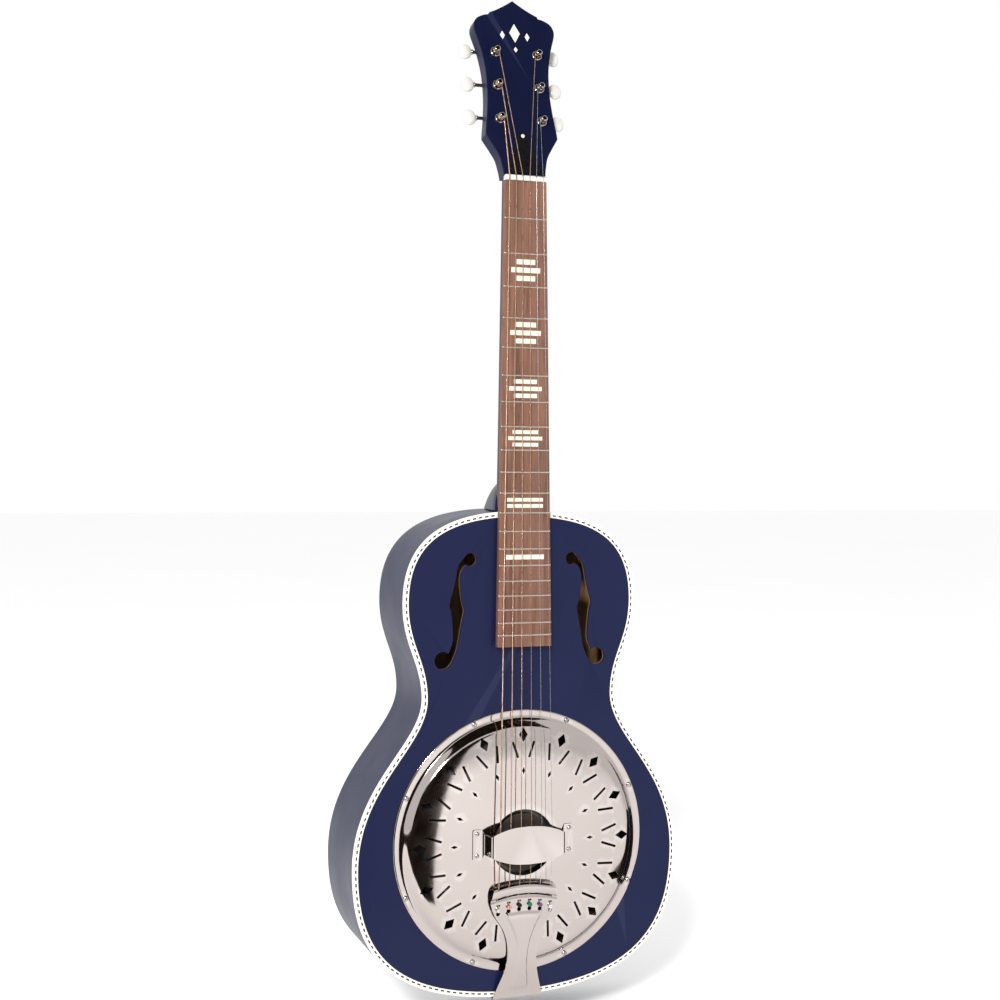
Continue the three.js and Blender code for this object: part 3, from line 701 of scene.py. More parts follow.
piece(
    "rim_lacquered",
    edge_strip([
        (0.0, level(RIM_FRONT_Y)), (0.0, behind(-4.2)), (0.0, behind(-4.0)),
        (2.6, behind(-4.0)), (2.6, level(RIM_FRONT_Y)),
    ]),
    lacquer, "blue_lacquer", angle=50, replaces=["rim"],
)
piece(
    "rim_inner_ply",
    edge_strip([
        (2.65, level(6.2)), (2.65, behind(-4.4)), (3.2, behind(-4.4)),
        (3.2, level(14.0)), (8.9, level(14.0)), (8.9, level(4.3)), (4.0, level(4.3)), (4.0, level(6.2)),
    ]),
    bare_wood, "blue_lacquer", angle=40,
)
piece(
    "back_lacquered",
    edge_slab([
        (0.0, behind(-3.9)), (0.0, behind(-1.1)), (0.35, behind(-0.35)), (1.1, behind(0.0)),
    ]),
    lacquer, "blue_lacquer", angle=50, replaces=["back"],
)
piece(
    "back_inner_ply", edge_slab([(3.5, behind(-4.6)), (3.5, behind(-3.95))]), bare_wood, "blue_lacquer",
)

# ---------------------------------------------------------------- resonator

COVER_PROFILE = [
    (32.5, -11.0), (45, -10.9), (60, -10.75), (75, -10.55), (83, -10.42), (87, -10.25), (92, -9.98),
    (98, -9.6), (104, -9.15), (110, -8.55), (112, -8.15), (114, -7.4), (116, -6.15), (118, -4.4),
    (119.8, -2.75), (121.3, -1.85), (123, -1.5), (126, -1.5), (128.3, -1.5), (128.95, -1.3), (129.2, -0.8),
]
COVER_THICKNESS = 1.2
COVER_FRONT = smooth_through(COVER_PROFILE, 3)


def cover_slope(radius):
    """The cover's slope dy/dr at a radius."""
    for (r0, y0), (r1, y1) in zip(COVER_FRONT, COVER_FRONT[1:]):
        if radius <= r1:
            return (y1 - y0) / max(r1 - r0, 1e-6)
    return 0.0


def smooth_cover_slope(radius):
    return (cover_slope(radius - 0.35) + cover_slope(radius) + cover_slope(radius + 0.35)) / 3


def rhombus(length, width):
    return [(length / 2, 0), (0, width / 2), (-length / 2, 0), (0, -width / 2)]


def cover_cutters():
    """Sixteen rays of a large and a small diamond, with a pair of slots between the rays."""
    slot = [(-8.35, -1.2), (8.35, -1.2), (8.35, 1.2), (-8.35, 1.2)]
    shapes = []
    for ray in range(16):
        angle = ray * 22.5
        for radius, plan in ((105.6, rhombus(14.4, 9)), (70.5, rhombus(7.5, 3.2))):
            shapes.append(moved(prism(plan, -20, 5), spin(-angle, "Y") @ shift(radius, 0, 0)))
        for side in (-1, 1):
            turn = spin(-angle - side * 5.3, "Y") @ shift(91.5, 0, 0) @ spin(-side * 14, "Y")
            shapes.append(moved(prism(slot, -20, 5), turn))
    return merged(*shapes)


def add_coverplate():
    rear = [(r, y + COVER_THICKNESS) for r, y in reversed(COVER_FRONT[::3])]
    made = mesh_object("coverplate_pressed", lathe([*COVER_FRONT, *rear], 160, closed=True), CONE)
    screw_holes = merged(*[prism(circle(x, z - CONE_Z, 1.6, 20), -20, 5) for x, z, _ in cover_screw_places()])
    carve(made, [cover_cutters(), screw_holes], CONE)
    soften(made, 0.35, 2, 50)
    mesh = made.data
    mesh.shade_smooth()
    normals = [None] * len(mesh.loops)
    centre = Vector((0, 0, CONE_Z * MM))
    for face in mesh.polygons:
        for index in face.loop_indices:
            offset = mesh.vertices[mesh.loops[index].vertex_index].co - centre
            radius = math.hypot(offset.x, offset.z) / MM
            slope = smooth_cover_slope(radius)
            outward = Vector((offset.x, 0, offset.z)).normalized()
            ideal = (outward * slope - Vector((0, 1, 0))).normalized()
            on_front = face.normal.dot(ideal) > 0.93
            normals[index] = ideal if on_front else face.normal
    mesh.normals_split_custom_set(normals)
    return finished(made, nickel, "nickel", replaces=["coverplate"])


add_coverplate()

CONE_PROFILE = [
    (0, -2.6), (30, -2.6), (33, -1.8), (106, 11.8), (108.3, 14), (110.3, 14), (112.2, 12.7), (120.6, 12.7),
]
cone_rear = [(r, y + 0.8) for r, y in reversed(CONE_PROFILE)]
# The cone's near-black finish is painted shade inside the body.
piece(
    "cone_spun", lathe([*CONE_PROFILE, *cone_rear], 128), aluminium, "aluminium", CONE,
    replaces=["cone"], angle=25,
)

# The biscuit's near-black finish is painted shade under the handrest.
piece(
    "biscuit_disc",
    lathe([(0, -9.2), (27.9, -9.2), (28.5, -8.7), (28.5, -3.4), (28, -2.9), (0, -2.9)], 72),
    maple_in_painted_shade, "maple", CONE, replaces=["biscuit"],
    cutters=[block((-27.7, 27.7), (-20, -6.3), (-2.1, 2.1))],
)


def saddle_notches():
    for string, radius in enumerate(STRING_RADII):
        x = string_x(string, SADDLE_SPREAD)
        yield moved(rod(radius, -3, 3, 12), shift(x, SADDLE_TOP_Y - 0.3, 0) @ spin(90, "X"))


saddle = mesh_object("saddle_maple", block((-27.4, 27.4), (SADDLE_TOP_Y, -6.6), (-1.8, 1.8)), CONE)
carve(saddle, [merged(*saddle_notches())], CONE)
soften(saddle, 0.3)
shade_smooth(saddle)
finished(saddle, maple, "maple", replaces=["saddle"])


def arc(centre, radius, start, end, steps=5):
    for i in range(steps + 1):
        angle = math.radians(start + (end - start) * i / steps)
        yield (centre[0] + radius * math.cos(angle), centre[1] + radius * math.sin(angle))


def both_sides(half):
    return [*half, *[(-x, second) for x, second in reversed(half) if x > 0]]


HANDREST = shift(0, 0, CONE_Z + 1)
HANDREST_SCREWS = [(side * 47.9, z) for side in (-1, 1) for z in (-10.7, 10.7)]


def add_handrest():
    """A bridge of bent sheet over the saddle: bowed top, stepped walls and two tabs for screws."""
    front = [
        (0, -27.5), (34.6, -27.5), *arc((35.8, -25.1), 2.4, -84, -12), *arc((42.6, -14.2), 2.2, 168, 90, 5),
        (52.5, -12.0),
    ]
    rear = [
        (52.5, -11.25), *arc((42.4, -14.6), 3.3, 90, 168, 4), *arc((35.6, -25.0), 1.2, -12, -84, 3),
        (34.6, -26.3), (0, -26.3),
    ]
    hat = both_sides([*front, *rear])
    points = [(x, y) for x, y in hat]
    body = loft([[(x, y, z) for x, y in points] for z in (-30, 30)])
    made = mesh_object("handrest_sheet", body, HANDREST)
    bow_low = smooth_through([(0, -18.7), (16, -17.6), (30, -13.8), (38, -10)], 6)
    bow_high = smooth_through([(38, 9.6), (30, 13.4), (16, 17.2), (0, 18.3)], 6)
    tab = [
        (41, -10), (42.2, -13.5), *arc((44.7, -13.5), 2.0, 180, 270, 4), *arc((50, -13.5), 2.0, 270, 360, 4),
        *arc((50, 12.5), 2.0, 0, 90, 4), *arc((44.2, 12.5), 2.0, 90, 180, 4), (41, 9.6),
    ]
    plan = both_sides([*bow_low, *tab, *bow_high])
    carve(made, [prism(plan, -40, 0)], HANDREST, "INTERSECT")
    holes = [prism(circle(x, z, 1.4, 20), -20, -5) for x, z in HANDREST_SCREWS]
    carve(made, [merged(*holes)], HANDREST)
    soften(made, 0.4, 3, 40)
    shade_smooth(made, 40)
    return finished(made, nickel, "nickel", replaces=["handrest"])


add_handrest()


def screw(head_radius, height, slot_turn, shank=3.0, cross=True):
    """A domed screw seen from the front, with a cross or a slot cut in its head."""
    dome = [(0, -height), (head_radius * 0.5, -height * 0.93), (head_radius * 0.85, -height * 0.6)]
    edge = [(head_radius, -height * 0.2), (head_radius, 0), (head_radius * 0.5, 0.05)]
    body = lathe([*dome, *edge, (head_radius * 0.5, shank), (0, shank)], 28)
    reach, half = head_radius * 0.62, head_radius * 0.13
    cuts = [moved(block((-reach, reach), (-height * 2, -height * 0.45), (-half, half)), spin(slot_turn, "Y"))]
    if cross:
        cuts.append(moved(cuts[0], spin(90, "Y")))
    return body, cuts


def add_screw(name, place, head_radius, height, slot_turn, finish=satin_nickel, shank=3.0, replaces=()):
    body, cuts = screw(head_radius, height, slot_turn, shank)
    made = mesh_object(name, body, place)
    carve(made, cuts, place)
    shade_smooth(made, 40)
    return finished(made, finish, "nickel", replaces=replaces)


for x, z, number in cover_screw_places():
    add_screw(
        f"cover_screw_head_{number}", shift(x, -1.55, z), 2.7, 1.5, 40 * number, shank=10.0,
        replaces=[f"cover_screw_{number}"],
    )
for i, (x, z) in enumerate(HANDREST_SCREWS):
    add_screw(f"handrest_screw_{i + 1}", HANDREST @ shift(x, -12.05, z), 2.3, 1.2, 25 + 50 * i, shank=1.0)

# ---------------------------------------------------------------- tailpiece

DASH_HOLE_Z = -700.5
BALL_Z = -704.8
ROUND_HOLE_Z = -708.9
TAILPIECE_STATIONS = [
    (-682.2, -12.6, 29.0), (-683.0, -15.2, 30.6), (-685.5, -17.1, 32.0), (-689.0, -17.6, 33.2),
    (-692.6, -16.9, 34.0), (-694.6, -15.2, 34.4), (-696.0, -14.8, 34.5), (-699, -15.4, 34.2),
    (-704, -15.2, 32.8), (-712, -14.5, 29.8), (-720, -13.7, 25.6), (-731, -12.9, 20),
    (-742, -12.1, 16.4), (-755, -11.2, 15), (-766, -10, 16), (-776, -7.8, 18.3),
    (-786.5, -4.9, 21.6), (-796, -2.4, 24.4), (-799.4, -1.6, 24.9), (-800.8, 0.4, 24.9),
    (-801, 4, 24.7), (-801, 30, 22), (-801, 60, 19),
]
RIDGE = [
    (-712, 19.0), (-720, 14.6), (-729, 10.5), (-740, 6.8), (-750, 5.0), (-760, 4.6), (-769, 5.4),
    (-778, 7.0), (-787, 8.6),
]


def between(table, z):
    if z >= table[0][0]:
        return table[0][1]
    for (z0, v0), (z1, v1) in zip(table, table[1:]):
        if z >= z1:
            return v0 + (v1 - v0) * (z0 - z) / (z0 - z1)
    return table[-1][1]


def ease(value):
    value = min(1.0, max(0.0, value))
    return value * value * (3 - 2 * value)


def tailpiece_rise(x, z):
    """How far the pressed spine stands out of the sheet."""
    if z > -700 or z < -799:
        return 0.0
    fade = ease((-706 - z) / 14) * ease((z + 793) / 8)
    return 2.3 * fade * ease((between(RIDGE, z) + 1.1 - abs(x)) / 2.2)


def arch(x):
    """How far a row across the tailpiece drops at a distance from its middle."""
    return -3.6 * (x / 27) ** 2


def curved_slot(z, half, height):
    steps = 16
    across = [half * (2 * i / steps - 1) for i in range(steps + 1)]
    upper = [(x, z + height / 2 + arch(x)) for x in across]
    return prism(upper + [(x, below - height) for x, below in reversed(upper)], -25, -8)


def keyholes():
    """The mouth that the strings go in by, the slot behind it, and each string's two holes."""
    yield curved_slot(-684.2, 28.4, 2.0)
    yield curved_slot(-694.6, 29.0, 1.9)
    for string in range(len(STRING_RADII)):
        x = string_x(string, SADDLE_SPREAD)
        yield prism(circle(x, ROUND_HOLE_Z + arch(x), 2.1, 24), -25, -8)
        z = DASH_HOLE_Z + arch(x)
        yield prism([(x - 1.8, z - 0.9), (x + 1.8, z - 0.9), (x + 1.8, z + 0.9), (x - 1.8, z + 0.9)], -25, -8)


def add_tailpiece():
    columns = 48
    path = smooth_through(TAILPIECE_STATIONS, 6)
    grids = {1: [], -1: []}
    thickness = 1.3
    for i, (z, y, half) in enumerate(path):
        before, after = path[max(i - 1, 0)], path[min(i + 1, len(path) - 1)]
        along = Vector((after[1] - before[1], after[0] - before[0])).normalized()
        out = Vector((along.y, -along.x))
        for side in grids:
            row = []
            for column in range(columns + 1):
                x = half * (2 * column / columns - 1)
                bow = -4.2 * (x / 33) ** 2 * ease((z + 735) / 25)
                rise = tailpiece_rise(x, z)
                offset = rise + (thickness / 2 if side > 0 else -thickness / 2)
                lean = -1.5 * ease((-735 - z) / 60)
                row.append((x + lean, y + out.x * offset, z + bow + out.y * offset))
            grids[side].append(row)
    rings = [front + back[::-1] for front, back in zip(grids[1], grids[-1])]
    made = mesh_object("tailpiece_pressed", loft(rings))
    pin_hole = moved(rod(3.8, -840, -760, 24), shift(0, PIN_Y, 0) @ spin(90, "X"))
    carve(made, [*keyholes(), pin_hole])
    shade_smooth(made, 38)
    return finished(made, nickel, "nickel", replaces=["tailpiece"])


add_tailpiece()

BALL_COLOURS = [
    (0.6, 0.58, 0.56), (0.6, 0.3, 0.24), (0.02, 0.02, 0.02), (0.02, 0.2, 0.09), (0.16, 0.1, 0.2),
    (0.7, 0.69, 0.67),
]
for string, colour in enumerate(BALL_COLOURS):
    ball_finish = mottled(f"ball_end_{string + 1}", colour, 0.25, 0.9, vary=0.1, scale=400.0)
    x = string_x(string, SADDLE_SPREAD)
    z = BALL_Z + arch(x)
    barrel = [(0.5, -1.5), (1.6, -1.5), (2.15, -1.0), (2.15, 1.0), (1.6, 1.5), (0.5, 1.5)]
    piece(
        f"ball_end_{string + 1}_barrel", lathe(barrel, 24, closed=True), ball_finish, "steel",
        shift(x, -17.2, z), angle=40,
    )

PIN_PROFILE = [
    (0, -812.4), (4.6, -812.3), (6.3, -811.2), (6.8, -809.6), (6.4, -808), (5.2, -806.6), (5.0, -805.6),
    (5.9, -804.6), (6.6, -803.6), (6.2, -802.1), (3.4, -801.9), (3.2, -776.5), (0, -776.5),
]
piece(
    "end_pin_turned", lathe([(r, -z) for r, z in smooth_through(PIN_PROFILE, 2)], 40), black_plastic,
    "black_plastic", shift(0, PIN_Y, 0) @ spin(-90, "X"), replaces=["end_pin"], angle=40,
)

# ---------------------------------------------------------------- neck and headstock


def shaft_section(z, depth, steps=28):
    half = board_half_width(min(z, 0))
    ring = []
    for i in range(steps + 1):
        angle = math.pi * i / steps
        cosine = math.cos(angle)
        out = math.copysign(abs(cosine) ** 0.85, cosine)
        ring.append((half * out, NECK_TOP_Y + depth * max(math.sin(angle), 0) ** 0.8, z))
    return ring


SHAFT_DEPTHS = [(14, 13.2), (0, 14.2), (-60, 14.8), (-120, 15.5), (-240, 17), (-285, 18.2), (-317, 19)]
shaft_stations = smooth_through(SHAFT_DEPTHS, 5)
piece(
    "neck_shaft", loft([shaft_section(z, depth) for z, depth in shaft_stations]), lacquer,
    "blue_lacquer", NECK, replaces=["neck"], angle=50,
)
tongue_plan = [
    (-board_half_width(-330), -330), (board_half_width(-330), -330),
    (board_half_width(BOARD_END_Z), BOARD_END_Z), (-board_half_width(BOARD_END_Z), BOARD_END_Z),
]
piece("neck_tongue", prism(tongue_plan, NECK_TOP_Y - 0.2, 8.5), lacquer, "blue_lacquer", NECK)

HEEL_STATIONS = [
    (4, 27, 41), (12, 26.6, 40), (22, 25, 37), (36, 22.5, 32), (52, 19, 26.5), (62, 17, 20),
    (69, 15.5, 13), (73.5, 14.5, 7), (75.6, 13.7, 3.4), (76, 12.8, 2.0),
]


def heel_ring(y, half, reach, steps=36):
    ring = []
    for i in range(steps + 1):
        angle = math.pi * i / steps
        out = max(math.sin(angle), 0) ** 0.9
        ring.append((half * math.cos(angle), y, BODY_TOP_Z + 0.3 + reach * out))
    return ring


piece(
    "neck_heel", loft([heel_ring(*station) for station in smooth_through(HEEL_STATIONS, 4)]), lacquer,
    "blue_lacquer", angle=50,
)


def headstock_outline():
    """Half of the headstock's plan: flare, waisted sides, round shoulders, and a pointed crown."""
    flare = [(21.5, -1), (22.0, 4), (23, 10), (25.2, 19.5), (30, 28.5), (37.4, 40.5)]
    side = [
        (37.4, 40.5), (37, 45.5), (34.6, 63), (32.8, 84), (33, 106), (34.9, 122), (38.2, 137),
        (41.7, 149), (42.2, 156), (39, 162.6), (32, 166.6), (26.2, 168),
    ]
    crown = [(25.2, 170.2), (17.5, 173.8), (7.5, 179.7), (0, 184.8)]
    half = [*smooth_through(flare, 5), *smooth_through(side, 5)[1:], *smooth_through(crown, 4)]
    return both_sides([(0, -1), *half])


head_holes = [
    moved(rod(4.4, -5, 25, 24), shift(side * POST_X, 0, FIRST_POST_Z + row * TUNER_PITCH))
    for side in (-1, 1) for row in range(TUNER_ROWS)
]
piece(
    "headstock_core", prism(headstock_outline(), 0.9, HEAD_THICKNESS), lacquer, "blue_lacquer", HEAD,
    bevel=0.8, segments=3, cutters=[merged(*head_holes)],
)
face_plan = [(x * 0.997, z) for x, z in headstock_outline()]
piece(
    "headstock_face", prism(face_plan, 0.0, 0.9), head_lacquer, "blue_lacquer", HEAD, bevel=0.3,
    cutters=[merged(*head_holes)],
)

cover_half = [(0, 1.5), (18, 1.5), (17.4, 7), (12.4, 15), (8.4, 26), (5.6, 38), (3, 43), (0, 44.5)]
bell = [cover_half[0], cover_half[1], *smooth_through(cover_half[2:], 5)]
piece(
    "truss_cover_bell", prism(both_sides(bell), -2.3, -0.3), black_plastic, "black_plastic", HEAD,
    bevel=0.5, replaces=["truss_rod_cover"], segments=3,
)
add_screw("truss_cover_screw_top", HEAD @ shift(0, -2.3, 40.2), 1.9, 0.9, 20, bone, shank=1.5)
for side in (-1, 1):
    label, place = "left" if side < 0 else "right", HEAD @ shift(side * 13.5, -2.3, 5.2)
    add_screw(f"truss_cover_screw_{label}", place, 1.5, 0.7, 60 * side, black_plastic, shank=1.5)


def ornament():
    """A plain ornament for the headstock: a long diamond between two small ones."""
    for x, z, width, height in ((0, 150, 11, 20), (-13, 147, 5, 9), (13, 147, 5, 9), (0, 132.5, 4, 6)):
        plan = [(x + width / 2, z), (x, z + height / 2), (x - width / 2, z), (x, z - height / 2)]
        yield prism(plan, -0.06, 0.4)


piece("headstock_ornament", merged(*ornament()), pearl, "bone", HEAD, angle=30)

# ---------------------------------------------------------------- fingerboard, frets, inlays, nut


def board_ring(z, inset_by=0.0):
    half = board_half_width(z) - inset_by
    return [
        (-half + 0.5, 0.0, z), (half - 0.5, 0.0, z), (half - 0.12, 0.14, z), (half, 0.55, z),
        (half, BOARD_THICKNESS, z), (-half, BOARD_THICKNESS, z), (-half, 0.55, z), (-half + 0.12, 0.14, z),
    ]


piece(
    "fingerboard_plank", loft([board_ring(0), board_ring(BOARD_END_Z + 0.4), board_ring(BOARD_END_Z, 0.35)]),
    rosewood, "rosewood", NECK, replaces=["fingerboard"], angle=40,
)

FRET_CROWN = [
    (-0.85, 0.0), (-0.78, -0.35), (-0.5, -0.68), (0, -0.82), (0.5, -0.68), (0.78, -0.35), (0.85, 0.0),
    (0.3, 0.5), (-0.3, 0.5),
]


def fret_shape(number):
    """A crowned wire across the board, with its ends filed to a slope."""
    z, half = fret_z(number), board_half_width(fret_z(number))
    rings = []
    for side, tuck in ((-1, 0.0), (-1, 0.7), (1, 0.7), (1, 0.0)):
        low = 0.25 if tuck == 0 else 1.0
        rings.append([(side * (half - 0.1 - tuck), y * low if y < 0 else y, z + dz) for dz, y in FRET_CROWN])
    return loft(rings)


for number in range(1, FRET_COUNT + 1):
    piece(f"fret_{number:02d}", fret_shape(number), fret_metal, "steel", NECK, angle=45)

# Each fret's bars: half length, offset along the board from the middle of its space, height.
INLAYS = {
    3: [(9.8, 8.0, 5.0), (15.0, 0, 5.0), (9.8, -8.0, 5.0)],
    5: [(10.9, 8.0, 4.8), (15.8, 0, 4.8), (10.9, -8.0, 4.8)],
    7: [(12.0, 6.9, 4.2), (17.0, 0, 4.2), (12.0, -6.9, 4.2)],
    9: [(13.3, 6.1, 3.7), (17.7, 0, 3.7), (13.3, -6.1, 3.7)],
    12: [(18.6, 3.0, 3.6), (18.6, -3.0, 3.6)],
    15: [(19.7, 0, 4.6)],
}
for fret, bars in INLAYS.items():
    middle = (fret_z(fret) + fret_z(fret - 1)) / 2
    shapes = [
        block((-half, half), (-0.05, 0.6), (middle + offset - height / 2, middle + offset + height / 2))
        for half, offset, height in bars
    ]
    piece(f"inlay_{fret:02d}", merged(*shapes), pearl, "bone", NECK, angle=30)


def nut_profile():
    """The nut's section: flat to the board, sloped to the headstock and rounded on top."""
    return [(0.3, 6.0), (0.3, -2.0), (0.9, -2.55), (2.2, -2.6), (4.4, -1.9), (5.7, -0.9), (5.7, 6.0)]


nut_rings = [[(x, y, z) for z, y in nut_profile()] for x in (-NUT_HALF_WIDTH + 0.4, NUT_HALF_WIDTH - 0.4)]
nut_grooves = []
for string, radius in enumerate(STRING_RADII):
    half = radius + 0.2
    groove = prism([(-half, -4), (half, -4), (half, 10), (-half, 10)], -10, NUT_SLOT_Y)
    nut_grooves.append(moved(groove, shift(string_x(string, NUT_SPREAD), 0, 0)))
piece(
    "nut_bone", loft(nut_rings), bone, "bone", NECK, bevel=0.35, replaces=["nut"],
    cutters=[merged(*nut_grooves)],
)

# ---------------------------------------------------------------- tuners

TUNERS = []
for side, label in ((-1, "bass"), (1, "treble")):
    for row in range(TUNER_ROWS):
        TUNERS.append((f"{label}_{row + 1}", side, FIRST_POST_Z + row * TUNER_PITCH))

BUSHING_PROFILE = [
    (3.2, -0.9), (3.5, -1.5), (4.2, -1.7), (4.8, -1.4), (5.1, -0.8), (5.1, -0.15),
    (4.4, 0.0), (4.4, 6), (3.2, 6),
]
POST_PROFILE = [
    (0, -9.5), (1.9, -9.45), (2.7, -9.1), (3.0, -8.6), (2.95, -8.1), (2.55, -7.6), (2.45, -6.8),
    (2.45, -3.4), (2.6, -2.7), (2.95, -2.2), (3.0, -1.6), (3.0, 19.9), (0, 19.9),
]
BUTTON_PROFILE = [
    (0, 0.0), (2.4, 0.0), (3.4, 0.5), (5.2, 1.4), (6.9, 3.2), (7.8, 5.4), (8.0, 7.0), (7.7, 9.0),
    (6.6, 11.0), (4.6, 12.6), (2.2, 13.3), (0, 13.4),
]
GEAR_TEETH = 14
GEAR_MODULE = 0.8


def gear_plan():
    pitch = GEAR_TEETH * GEAR_MODULE / 2
    outer, root, width = pitch + 0.65, pitch - 0.85, 0.85
    plan = []
    for tooth in range(GEAR_TEETH):
        middle = math.pi / 2 + tooth * 2 * math.pi / GEAR_TEETH
        for radius, share in ((root, -0.75), (outer, -0.3), (outer, 0.3), (root, 0.75)):
            angle = middle + share * width / radius
            plan.append((radius * math.cos(angle), radius * math.sin(angle)))
    return plan


def add_tuner(label, side, z):
    place = HEAD @ shift(side * POST_X, 0, z)
    piece(
        f"bushing_{label}_collar", lathe(smooth_through(BUSHING_PROFILE, 2), 40, closed=True),
        nickel, "nickel", place, replaces=[f"bushing_{label}"], angle=45,
    )
    post = mesh_object(f"post_{label}_turned", lathe(smooth_through(POST_PROFILE, 2), 36), place)
    hole = moved(rod(0.8, -8, 8, 14), shift(0, POST_HOLE_Y, 0) @ spin(90, "Z"))
    carve(post, [hole], place)
    shade_smooth(post, 40)
    finished(post, nickel, "nickel", f"post_{label}", [f"post_{label}"])
    gear = mesh_object(f"gear_{label}_wheel", prism(gear_plan(), WORM_Y - 1.3, WORM_Y + 1.3), place)
    soften(gear, 0.12, 1)
    shade_smooth(gear, 30)
    finished(gear, satin_nickel, "nickel", f"post_{label}")
    body, cuts = screw(3.4, 1.7, 15 * (z % 7), 1.0, cross=False)
    turned_back = place @ shift(0, WORM_Y + 1.4, 0) @ spin(180, "X")
    head = mesh_object(f"gear_{label}_screw", body, turned_back)
    carve(head, cuts, turned_back)
    shade_smooth(head, 40)
    finished(head, steel, "nickel", f"post_{label}")

    shaft_z = z + WORM_OFFSET
    facing = spin(-90, "Z") if side > 0 else spin(90, "Z")
    button_place = HEAD @ shift(side * BUTTON_X, WORM_Y, shaft_z) @ facing
    squash = Matrix.Diagonal((0.45, 1, 1, 1))
    shape = moved(lathe(smooth_through(BUTTON_PROFILE, 3), 56), squash)
    piece(
        f"button_{label}_oval", shape, ivory, "ivory", button_place, f"tuner_{label}",
        replaces=[f"button_{label}"], angle=60,
    )
    profile = [(1.9, -1.5), (2.5, -1.5), (2.7, -1.1), (2.7, -0.4), (2.5, 0.0), (1.9, 0.0)]
    collar = lathe(profile, 28, closed=True)
    piece(f"ferrule_{label}_ring", collar, satin_nickel, "steel", button_place, f"tuner_{label}", angle=45)


for tuner in TUNERS:
    add_tuner(*tuner)

plate_low, plate_high = FIRST_POST_Z - 9.5, FIRST_POST_Z + (TUNER_ROWS - 1) * TUNER_PITCH + 17
plate_screw_z = (
    plate_low + 4, FIRST_POST_Z + 18.5, FIRST_POST_Z + 18.5 + TUNER_PITCH, plate_high - 4,
)
for side in (-1, 1):
    label = "bass" if side < 0 else "treble"
    for i, z in enumerate(plate_screw_z):
        place = HEAD @ shift(side * (POST_X - 0.1), HEAD_THICKNESS + 1.35, z) @ spin(180, "X")
        add_screw(f"plate_screw_{label}_{i + 1}", place, 1.9, 0.9, 30 * i, shank=1.0)

# ---------------------------------------------------------------- strings


def tube(points, radius, sides=10):
    rings = []
    for i, point in enumerate(points):
        before, after = points[max(i - 1, 0)], points[min(i + 1, len(points) - 1)]
        along = (after - before).normalized()
        across = along.cross(Vector((1, 0, 0)) if abs(along.x) < 0.9 else Vector((0, 0, 1))).normalized()
        up = along.cross(across)
        ring = []
        for side in range(sides):
            angle = 2 * math.pi * side / sides
            offset = across * radius * math.cos(angle) + up * radius * math.sin(angle)
            ring.append(tuple(point + offset))
        rings.append(ring)
    return loft(rings)


def post_of(string):
    return TUNERS[string] if string < 3 else TUNERS[3 + (5 - string)]


def add_string(string, name):
    radius = STRING_RADII[string]
    label, side, post_z = post_of(string)
    saddle_x, nut_x = string_x(string, SADDLE_SPREAD), string_x(string, NUT_SPREAD)
    drop = arch(saddle_x)
    nut_y = NUT_SLOT_Y - 0.05 - radius
    top_y = SADDLE_TOP_Y - radius + 0.1
    touch_x = side * (POST_X - 2.5 - radius)
    corners = [
        Vector((saddle_x, -17.2, BALL_Z + drop)),
        Vector((saddle_x, -16.4, DASH_HOLE_Z + drop - 0.6)),
        Vector((saddle_x, -13.2, DASH_HOLE_Z + drop + 1.5)),
        Vector((saddle_x, -13.2, -694 + drop)),
        Vector((saddle_x, -15.4, -686.5 + drop)),
        Vector((saddle_x, -17.0, -683.6 + drop)),
        Vector((saddle_x, top_y, CONE_Z - 1)),
        Vector((saddle_x, top_y, CONE_Z + 1)),
        NECK @ Vector((nut_x, nut_y, 0.5)),
        NECK @ Vector((nut_x, nut_y + 0.1, 3.5)),
        HEAD @ Vector((touch_x, STRING_ON_POST_Y, post_z)),
    ]
    plain = string >= 4
    finish, slot = (steel, "steel") if plain else (wraps[string], "bronze")
    piece(f"string_{name}_wire", tube(corners, radius), finish, slot, replaces=[f"string_{name}"], angle=60)
    turns, steps, reach = 3, 24, 2.5 + radius
    coil = []
    for step in range(turns * steps + 1):
        angle = 2 * math.pi * step / steps
        y = STRING_ON_POST_Y - step / steps * 2.1 * radius
        coil.append(Vector((side * (POST_X - reach * math.cos(angle)), y, post_z + reach * math.sin(angle))))
    piece(f"winding_{name}_coil", tube(coil, radius, 8), finish, slot, HEAD, f"post_{label}", angle=60)


for index, note in enumerate(["6_low_e", "5_a", "4_d", "3_g", "2_b", "1_high_e"]):
    add_string(index, note)

# ---------------------------------------------------------------- CAD nodes that stay

CARRIED = {
    "soundwell": bare_wood, "neck_block": bare_wood, "tail_block": bare_wood, "truss_rod": steel,
    "tuner_plate_bass": satin_nickel, "tuner_plate_treble": satin_nickel,
}
for label, _, _ in TUNERS:
    CARRIED[f"worm_shaft_{label}"] = dark_steel
for name, finish in CARRIED.items():
    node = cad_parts[name]
    smooth_flags(node, 35)
    node.data.materials.clear()
    node.data.materials.append(finish)

# ---------------------------------------------------------------- floor, light and camera


def stage_sheet(name, corners, finish):
    mesh = bpy.data.meshes.new(name)
    mesh.from_pydata([Vector(corner) * MM for corner in corners], [], [tuple(range(len(corners)))])
    made = bpy.data.objects.new(name, mesh)
    scene.collection.objects.link(made)
    made.data.materials.append(finish)
    made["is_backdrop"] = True
    return made


FLOOR_Z = -835.0
FLOOR_REACH = 15000
stage_sheet(
    "floor",
    [(x * FLOOR_REACH, y * FLOOR_REACH, FLOOR_Z) for x, y in ((-1, -1), (1, -1), (1, 1), (-1, 1))],
    floor_finish,
)

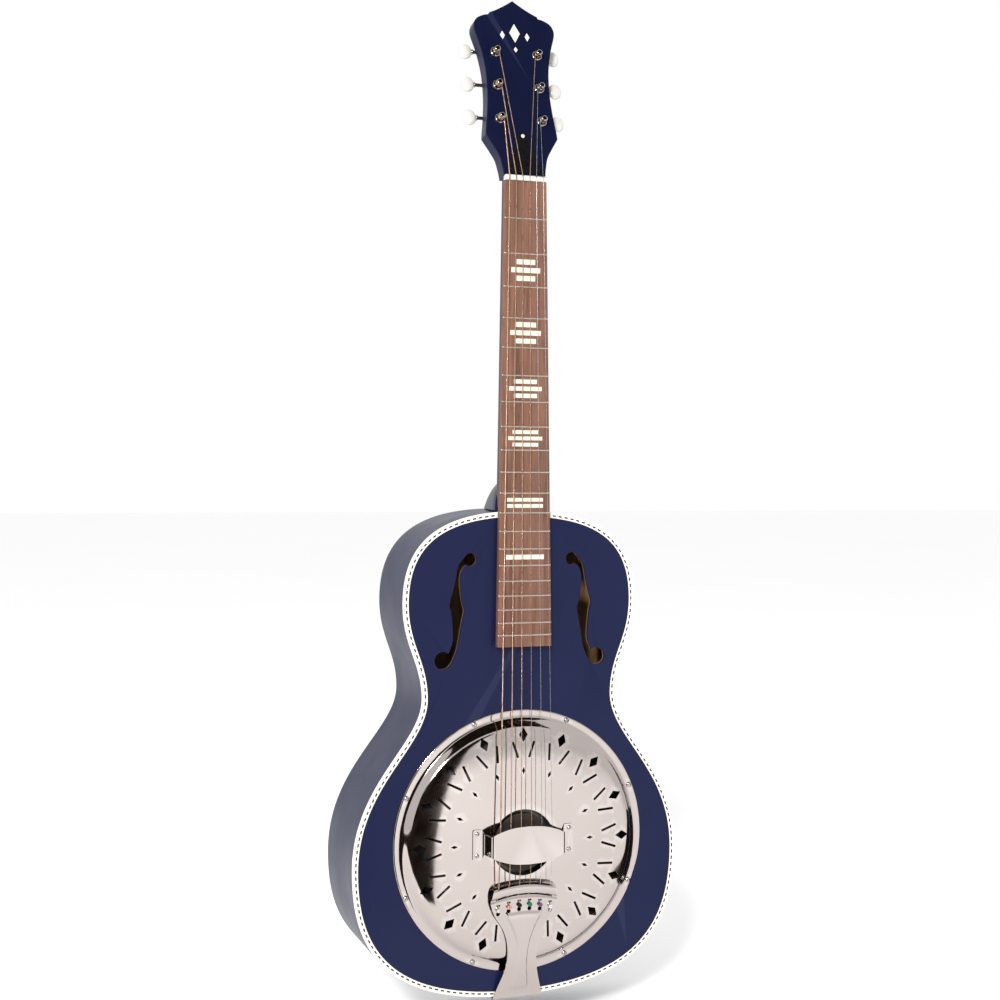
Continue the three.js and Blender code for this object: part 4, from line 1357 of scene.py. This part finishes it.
# Dark cards that only show in reflections, as a dim studio does in polished metal.
CARD_Z = FLOOR_Z + 2
CARDS = {
    "card_floor_left": [
        (-2500, -360, CARD_Z), (-33, -360, CARD_Z), (548, -3000, CARD_Z), (-2500, -3000, CARD_Z),
    ],
    "card_wall_left": [
        (-2500, -3000, FLOOR_Z), (548, -3000, FLOOR_Z), (548, -3000, 700), (-2500, -3000, 700),
    ],
    "card_floor_right": [(350, -420, CARD_Z), (2600, -900, CARD_Z), (2600, 1100, CARD_Z), (350, 240, CARD_Z)],
    "card_above": [(-1500, -2200, 1000), (1700, -2200, 1000), (1700, -700, 2500), (-1500, -700, 2500)],
}
for name, corners in CARDS.items():
    card = stage_sheet(name, corners, card_black)
    card.visible_camera = False
    card.visible_diffuse = False
    card.visible_shadow = False
    card.visible_transmission = False

world = bpy.data.worlds.new("studio")
world.use_nodes = True
world.node_tree.nodes["Background"].inputs["Color"].default_value = (1.0, 1.0, 1.0, 1)
world.node_tree.nodes["Background"].inputs["Strength"].default_value = 1.0
scene.world = world


def area_light(name, place, target, power, size, colour=(1, 1, 1)):
    data = bpy.data.lights.new(name, "AREA")
    data.energy = power
    data.size = size
    data.color = colour
    lamp = bpy.data.objects.new(name, data)
    lamp.location = Vector(place)
    lamp.rotation_euler = (Vector(target) - Vector(place)).to_track_quat("-Z", "Y").to_euler()
    scene.collection.objects.link(lamp)


area_light("key", (-1.5, -2.6, 0.9), (0, 0, -0.4), 120, 0.45, (1, 0.985, 0.96))

CAMERA_PLACE = Vector((-0.5429, -1.4788, -0.2713))
CAMERA_FORWARD = Vector((0.33148, 0.94313, -0.02491))
CAMERA_UP = Vector((0.00026, 0.02631, 0.99965))
camera_data = bpy.data.cameras.new("camera")
camera_data.lens = 57.9
camera_data.sensor_width = 36
camera_data.clip_end = 60
camera = bpy.data.objects.new("camera", camera_data)
right = CAMERA_FORWARD.cross(CAMERA_UP).normalized()
up = right.cross(CAMERA_FORWARD).normalized()
rotation = Matrix((right, up, -CAMERA_FORWARD.normalized())).transposed()
camera.matrix_world = Matrix.Translation(CAMERA_PLACE) @ rotation.to_4x4()
scene.collection.objects.link(camera)
scene.camera = camera
scene.view_settings.view_transform = "Standard"
scene.view_settings.look = "None"

# ---------------------------------------------------------------- sizes, and the end

boxes = {"cad": cad_box, "visual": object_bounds()}
{name: [list(low), list(high)] for name, (low, high) in boxes.items()}
